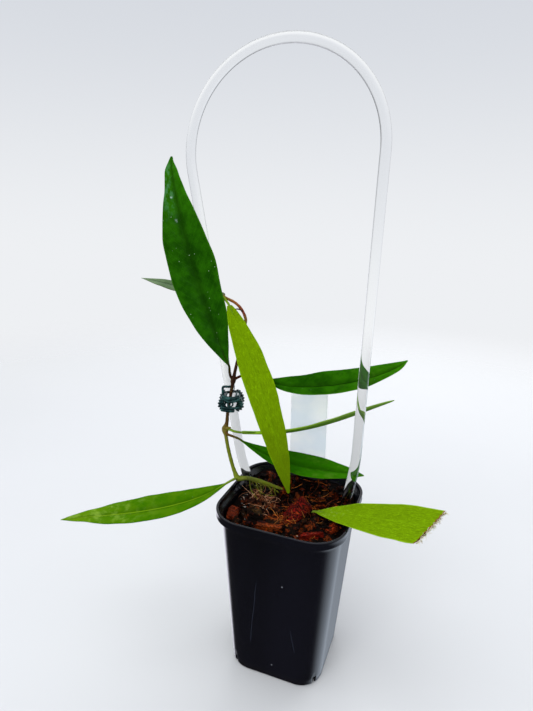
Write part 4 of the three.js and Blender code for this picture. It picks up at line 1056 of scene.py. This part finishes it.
def torn_fibres(plan, seed, count=190):
    """Pale ragged fibres along the cut: they leave the cut edge outwards and droop and curl a little."""
    random = np.random.default_rng(seed)
    v = random.uniform(-0.97, 0.97, count)
    t = plan["cut"][0] + (plan["cut"][1] - plan["cut"][0]) * (v + 1) / 2
    centre, way = centre_line(plan["line"], t)
    up = facing(plan, way)
    side = np.cross(way, up)
    half = half_width(plan, t)
    start = centre + side * (v * half)[:, None] + up * random.uniform(-0.25, 0.25, (count, 1)) - way * 0.5
    sent = unit(way + side * random.normal(0, 0.5, (count, 1)) + up * random.normal(0, 0.4, (count, 1)))
    heading = np.stack([np.arctan2(sent[:, 1], sent[:, 0]), np.arcsin(sent[:, 2])], -1)
    bend = random.normal(0, 1.1, (count, 2))
    length = random.uniform(0.5, 2.6, count)
    points, faces = strands(start, heading, length, bend, random.uniform(0.07, 0.19, count), steps=6)
    tint = TORN_TINTS[random.choice(4, count, p=(0.45, 0.25, 0.2, 0.1))]
    return points, faces, np.repeat(tint, len(points) // count, 0)


for seed, (node, plan) in enumerate(LEAVES.items(), 60):
    points, faces, uv, top, share = blade(plan, seed)
    (stalk_points, stalk_faces), at = stalk_surface(plan)
    reach = along_tube(at, STALK_SIDES)
    whole, all_faces = joined([(points, faces), (stalk_points, stalk_faces)])
    marks = {"top": np.concatenate([top, np.ones(len(reach))]),
             "share": np.concatenate([share, np.zeros(len(reach))]),
             "stalk": np.concatenate([np.zeros(len(top)), np.clip(1.25 - reach * 1.2, 0, 1)])}
    uv = np.concatenate([uv, np.stack([reach * 0.02, np.zeros(len(reach))], -1)])
    leaf = make_piece(node.replace("leaf", "blade"), whole, all_faces, leaf_skin(node, plan), uv=uv, marks=marks)
    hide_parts(node)
    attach(leaf, "root")


def torn_fibre():
    """Dried torn leaf tissue: cream, brown at the root of each fibre."""
    look = Finish("torn fibre")
    mottle = look.noise(look.place(), 600.0)
    colour = look.mix(mottle.step(0.5, 0.7) * 0.4, look.mark("tint", colour=True), srgb(150, 128, 80))
    return look.surface(Base_Color=colour, Roughness=mottle * 0.2 + 0.6)


points, faces, tint = torn_fibres(LEAVES["leaf_cut"], seed=3)
torn = make_piece("torn_end", points, faces, torn_fibre(), marks={"tint": tint})
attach(torn, "root")


# ---------------------------------------------------------------- stem clip
# A one-piece sprung clip, moulded in dark green plastic. Two toothed combs stand in front of the rod and the
# stem and two behind, joined by short pins; bars cross between them, and a square finger loop stands on top.
CLIP_HEIGHT, CLIP_TURN, CLIP_FRONT, CLIP_BACK, CLIP_SHIFT = 45.6, 20.5, 7.9, -4.2, (0.2, 0.8, 0)
COMB_TOP, COMB_BOTTOM, COMB_TEETH, TOOTH_DEPTH, COMB_REACH = 57, -55, 8, 1.0, 6.4
PINS = ((48, 4.2), (26, 4.8), (2, 5.4), (-18, 6.2), (-22, 4.4), (-42, 5.6))     # angle, distance from the middle


def clip_frame():
    """Where the clip sits: on the rod's left leg at its height, turned towards the front right. Its three
    directions are right, up and forward."""
    line = rod_line()
    left = line[(line[:, 0] < -30) & (line[:, 2] > RIM)]
    left = left[np.argsort(left[:, 2])]
    leg = np.array([np.interp(RIM + CLIP_HEIGHT, left[:, 2], left[:, k]) for k in range(3)])
    turn = math.radians(CLIP_TURN)
    right, up = np.array([math.cos(turn), math.sin(turn), 0]), np.array([0, 0, 1.0])
    return leg, np.stack([right, up, np.cross(right, up)])


CLIP_AT, CLIP_AXES = clip_frame()


def on_clip(points):
    """From the clip's own right, up and forward to the part's frame."""
    return (np.asarray(points, float) + CLIP_SHIFT) @ CLIP_AXES + CLIP_AT


def comb(side, back, front, inner_reach):
    """One toothed plate. Its outline goes down the outer edge, tooth by tooth, on a radius that is smallest at
    the shoulder and widest a little below the middle, and back up the inner edge; its front and back edges
    are eased."""
    down = np.linspace(0, 1, 12 * COMB_TEETH + 1)
    degrees = COMB_TOP + (COMB_BOTTOM - COMB_TOP) * down
    angle = np.radians(degrees)
    flare = np.exp(-((degrees + 24) / 27) ** 2)
    tooth = 1 - abs(2 * ((COMB_TEETH * down) % 1) - 1)
    shoulder = np.clip((degrees - 8) / 45, 0, 1) ** 1.5
    outer = COMB_REACH - 0.85 + 1.15 * flare + TOOTH_DEPTH * tooth - 1.0 * shoulder
    inner = inner_reach - 0.7 * flare - 0.8 * shoulder
    radial = np.stack([np.cos(angle), np.sin(angle)], -1)
    outline = np.concatenate([radial * outer[:, None], (radial * inner[:, None])[::-1]]) * [side, 1]
    middle = radial * ((outer + inner) / 2)[:, None] * [side, 1]
    spine = np.concatenate([middle, middle[::-1]])
    ways, ease = np.array([back, back + 0.25, front - 0.25, front]), np.array([0.88, 1.0, 1.0, 0.88])
    rings = spine[None] + (outline - spine)[None] * ease[:, None, None]
    count = len(outline)
    points = np.concatenate([rings, np.broadcast_to(ways[:, None, None], (4, count, 1))], -1).reshape(-1, 3)
    a = np.arange(count // 2 - 1)
    cap = np.stack([a, a + 1, count - 2 - a, count - 1 - a], -1)
    faces = [grid_faces(4, count, wrap_columns=True), cap, cap[:, ::-1] + 3 * count]
    if side > 0:
        faces = [part[:, ::-1] for part in faces]
    return on_clip(points), faces


def cross_pin(side, degrees, reach):
    """A short round pin from the back comb to the front one, at an angle and a distance from the middle."""
    angle = math.radians(degrees)
    at = [side * reach * math.cos(angle), reach * math.sin(angle)]
    line = np.stack([np.full(8, at[0]), np.full(8, at[1]), np.linspace(CLIP_BACK + 1.2, CLIP_FRONT - 1.2, 8)], -1)
    return tube(on_clip(line), 0.62, CLIP_AXES[1], 10)


def clip_bar(height, sag, forward, radius=0.75, stops=1.0):
    """A bar from the left comb towards the right one, shorter the higher it is. It hangs in the middle by its
    sag, as a parabola does."""
    x = np.linspace(-1, stops, 30)
    wide = COMB_REACH - 1.7 - 0.25 * max(height - 1, 0)
    line = np.stack([x * wide, height - sag * (1 - x ** 2), np.full(30, forward)], -1)
    return tube(on_clip(line), radius, CLIP_AXES[2], 14)


def clip_plastic():
    """Dark teal plastic, satin, slightly paler in worn places."""
    look = Finish("clip plastic")
    mottle = look.noise(look.place(), 500.0, 3.0)
    colour = look.mix(mottle.step(0.42, 0.7), srgb(10, 38, 40), srgb(50, 92, 90))
    return look.surface(
        Base_Color=colour, Roughness=mottle * 0.2 + 0.28, Specular_IOR_Level=0.35, Normal=look.bump(mottle, 0.06))


def clip_surface():
    """The four combs, the pins between them, four bars in front and two behind, the finger loop, which starts
    in front and comes down behind, and the small ring in the middle of the front."""
    front, back, loop_plane = CLIP_FRONT, CLIP_BACK, CLIP_FRONT - 2.2
    loop = np.array([
        (-4.1, 3.6, front - 1.2), (-4.5, 8.0, loop_plane), (-4.2, 8.7, loop_plane), (-3.4, 8.85, loop_plane),
        (-1.5, 8.85, loop_plane), (0.0, 8.8, loop_plane - 0.6), (0.9, 8.2, loop_plane - 4.6),
        (0.9, 6.0, back + 2.0), (0.8, 3.6, back + 0.9)])
    smooth, _ = smooth_line(loop - [0, 0, RIM], 60)
    turn = np.linspace(0, 2 * np.pi, 40)
    ring = np.stack([-0.2 + 1.4 * np.cos(turn), -0.5 + 1.4 * np.sin(turn), np.full(40, front)], -1)
    combs = [comb(side, *plate) for plate in ((front - 2.7, front - 0.8, 4.0), (back + 0.8, back + 2.4, 4.6))
             for side in (-1, 1)]
    pins = [cross_pin(side, *place) for side in (-1, 1) for place in PINS]
    bars = [clip_bar(3.7, 1.1, front - 0.3, 1.05), clip_bar(2.4, 1.5, front), clip_bar(-2.6, 0.3, front, 0.7),
            clip_bar(-4.1, 0.5, front - 0.3, 0.9, 0.30), clip_bar(2.9, 0.4, back + 0.6),
            clip_bar(-3.0, 0.4, back + 0.6)]
    return joined([*combs, *pins, *bars, tube(on_clip(smooth), 0.68, CLIP_AXES[2], 12),
                   tube(on_clip(ring), 0.45, CLIP_AXES[2], 10)])


clip = make_piece("stem_grip", *clip_surface(), clip_plastic())
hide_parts("stem_clip")
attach(clip, "root")


# ---------------------------------------------------------------- plant tag
# A bare strip of thin glossy white plastic, pushed point first into the mix at the back of the pot.
TAG_WIDTH, TAG_THICK, TAG_TOP, TAG_BOTTOM, TAG_POINT, TAG_ROUND = 21.5, 0.6, 57.0, -33.0, 12.0, 2.5
TAG_CENTRE, TAG_STANDS_AT, TAG_LEAN, TAG_TILT = -0.2, 29.0, 5.5, -2.5


def tag_surface(rows=90, columns=24):
    """Rows up the tag: the half width grows from the point, holds, and is rounded off at the top. The section
    is a thin oblong with half-round edges. The flat tag is tilted sideways and leaned back."""
    s = np.linspace(0, 1, rows)
    up = TAG_BOTTOM + (TAG_TOP - TAG_BOTTOM) * (1 - (1 - s) ** 1.4)
    half = np.minimum(TAG_WIDTH / 2, 1.0 + (up - TAG_BOTTOM) * (TAG_WIDTH / 2 - 1) / TAG_POINT)
    corner = np.clip(up - (TAG_TOP - TAG_ROUND), 0, TAG_ROUND)
    half = half - (TAG_ROUND - np.sqrt(np.maximum(TAG_ROUND ** 2 - corner ** 2, 0)))
    angle = np.linspace(0, 2 * np.pi, 2 * columns, endpoint=False)
    across = np.sign(np.cos(angle)) * abs(np.cos(angle)) ** 0.6
    face = np.sign(np.sin(angle)) * abs(np.sin(angle)) ** 0.25
    flat = np.stack(np.broadcast_arrays(half[:, None] * across, up[:, None], face * TAG_THICK / 2), -1)
    tilt, stand = math.radians(-TAG_TILT), math.pi / 2 - math.radians(TAG_LEAN)
    spin = np.array([[math.cos(tilt), -math.sin(tilt), 0], [math.sin(tilt), math.cos(tilt), 0], [0, 0, 1]])
    flat = flat @ spin.T
    y = flat[..., 1] * math.cos(stand) - flat[..., 2] * math.sin(stand)
    z = flat[..., 1] * math.sin(stand) + flat[..., 2] * math.cos(stand)
    rings = np.stack([flat[..., 0] + TAG_CENTRE, y + TAG_STANDS_AT, z + RIM], -1)
    points = np.concatenate([rings.reshape(-1, 3), [rings[0].mean(0), rings[-1].mean(0)]])
    return points, closed_skin(rows, len(angle), reverse=True)


def tag_plastic():
    """White plastic, glossy, with faint clouds and fine scuffs, and nearly black low down where it stands in the mix:
    soil dirt, and painted shade under the low leaves. Some of the light goes through it."""
    look = Finish("tag plastic")
    place = look.place()
    _, _, z = look.split(place)
    cloud = look.noise(place, 60.0, 3.0)
    scuff = look.noise(look.stretched(place, (1200.0, 1200.0, 80.0)), 1.0, 2.0)
    ragged_edge = look.noise(place, 180.0, 4.0, 0.7)
    dirt_and_shade = (z + ragged_edge * 0.004).step((RIM + 6.0) * MM, (RIM + 2.5) * MM)
    colour = look.mix(cloud.step(0.35, 0.7), srgb(242, 247, 252), srgb(253, 254, 255))
    # soil dirt and painted shade: nearly black from a little above the rim downwards
    colour = look.mix(dirt_and_shade * 0.93, colour, srgb(34, 36, 32))
    gloss = look.node("ShaderNodeBsdfPrincipled", sockets={
        "Base Color": colour, "Roughness": scuff * 0.15 + 0.12, "Normal": look.bump(scuff, 0.01)})
    glow = look.node("ShaderNodeBsdfTranslucent", sockets={"Color": colour})
    return look.finished(look.node("ShaderNodeMixShader", sockets={0: 0.65, 1: gloss, 2: glow}))


label = make_piece("bare_tag", *tag_surface(), tag_plastic())
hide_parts("plant_tag")
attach(label, "root")


# ---------------------------------------------------------------- table, light and camera
# A wide pale table that fades into a pale surround, soft lights overhead, in front and behind, and the
# photograph's camera. The long reflections down the pot are the surround's window and doorway.
TABLE_HALF = 3000.0
CAMERA_AT = (74.2, -243.6, 157.1 + RIM)
CAMERA_YAW, CAMERA_PITCH, CAMERA_ROLL, CAMERA_LENS = -20.46, 16.96, -1.52, 27.04


def table_top():
    """Pale matt table: it fades out with distance from the pot, so that it has no edge."""
    look = Finish("table")
    place = look.place()
    x, y, _ = look.split(place)
    far = ((x * x + y * y) ** 0.5).step(0.28, 0.9)
    colour = look.mix(look.noise(place, 6.0, 2.0), srgb(205, 207, 209), srgb(209, 211, 213))
    plain = look.node(
        "ShaderNodeBsdfPrincipled", sockets={"Base Color": colour, "Roughness": 0.7, "Specular IOR Level": 0.2})
    clear = look.node("ShaderNodeBsdfTransparent")
    return look.finished(look.node("ShaderNodeMixShader", sockets={0: far, 1: plain, 2: clear}))


table_corners = np.array([[-1, -1, 0], [1, -1, 0], [1, 1, 0], [-1, 1, 0]]) * TABLE_HALF
table = make_piece("table_top", table_corners, np.array([[0, 1, 2, 3]]), table_top())
table.visible_glossy = False


def surround():
    """A plain pale surround. Each direction's tone is worked out from its own x, y and z. What is reflected
    is a room: light overhead and behind, dark low down in front, with a bright window low on the right and a
    doorway low on the left. What shows through the clear rod is the surround beyond it: pale ahead, greyer
    to the sides and dark overhead."""
    look = Finish("pale surround", bpy.data.worlds)
    x, y, z = look.split(look.node("ShaderNodeTexCoord", out="Generated"))
    seen = look.mix(z.step(-0.12, 0.36), srgb(238, 240, 243), srgb(213, 217, 224))
    room = look.mix((z + y * 0.45).step(-0.35, 0.45), srgb(58, 56, 60), srgb(222, 224, 230))
    window = (x * 0.60 + y * 0.53 - z * 0.60).step(0.72, 1.0)
    room = look.mix(window, room, (1.05, 1.19, 1.38))
    doorway = (y * 0.72 - x * 0.50 - z * 0.48).step(0.85, 0.96)
    room = look.mix(doorway, room, (1.5, 1.5, 1.7))
    aside = look.mix((z + x * 0.1).step(-0.15, 0.40), srgb(204, 207, 211), srgb(78, 80, 82))
    beyond = look.mix(z.step(-0.25, 0.10), srgb(247, 249, 251), srgb(229, 232, 237))
    through = look.mix((y * 0.93 - x * 0.35).step(0.26, 0.76), aside, beyond)
    rays = look.node("ShaderNodeLightPath").socket.node
    camera_ray, times_through = (Wire(look, rays.outputs[label]) for label in ("Is Camera Ray", "Transmission Depth"))
    tone = look.mix(camera_ray, look.mix(times_through.step(0.3, 0.7), room, through), seen)
    return look.finished(look.node("ShaderNodeBackground", sockets={"Color": tone}), "ShaderNodeOutputWorld")


bpy.context.scene.world = surround()
bpy.context.scene.view_settings.view_transform = "Standard"


def stand(piece, at, right, up, ahead):
    """Puts a light or a camera at a place, with its own right and up; it looks ahead, along its -z."""
    matrix = np.eye(4)
    matrix[:3, 0], matrix[:3, 1], matrix[:3, 2], matrix[:3, 3] = right, up, -ahead, at
    piece.matrix_world = matrix.T.tolist()


def soft_light(name, at, towards, wide, high, power):
    """A rectangular light at a place in metres, turned to look at another. It is kept out of the camera's
    view, out of reflections and out of the clear rod, which show the surround alone."""
    lamp = bpy.data.lights.new(name, "AREA")
    lamp.shape, lamp.size, lamp.size_y, lamp.energy = "RECTANGLE", wide, high, power
    light = bpy.data.objects.new(name, lamp)
    bpy.context.scene.collection.objects.link(light)
    ahead = unit(np.array(towards, float) - at)
    right = unit(np.cross(ahead, [0, 0, 1.0]))
    stand(light, at, right, np.cross(right, ahead), ahead)
    light.visible_glossy = light.visible_transmission = light.visible_camera = False


soft_light("overhead", (-0.25, -0.25, 1.1), (0, 0, 0.12), 0.9, 0.7, 4.5)
soft_light("front_fill", (-0.15, -1.3, 0.75), (0, 0, 0.15), 1.2, 0.9, 10.0)
soft_light("back_fill", (0.1, 0.95, 0.45), (0, 0, 0.12), 1.4, 0.9, 9.0)

yaw, pitch, roll = (math.radians(value) for value in (CAMERA_YAW, CAMERA_PITCH, CAMERA_ROLL))
ahead = np.array([math.sin(yaw) * math.cos(pitch), math.cos(yaw) * math.cos(pitch), -math.sin(pitch)])
level = unit(np.cross(ahead, [0, 0, 1.0]))
above = np.cross(level, ahead)
right = level * math.cos(roll) - above * math.sin(roll)
up = level * math.sin(roll) + above * math.cos(roll)
lens = bpy.data.cameras.new("photo camera")
lens.lens, lens.sensor_width, lens.sensor_fit, lens.clip_start = CAMERA_LENS, 36.0, "AUTO", 0.01
camera = bpy.data.objects.new("photo camera", lens)
bpy.context.scene.collection.objects.link(camera)
stand(camera, np.array(CAMERA_AT) * MM, right, up, ahead)
bpy.context.scene.camera = camera
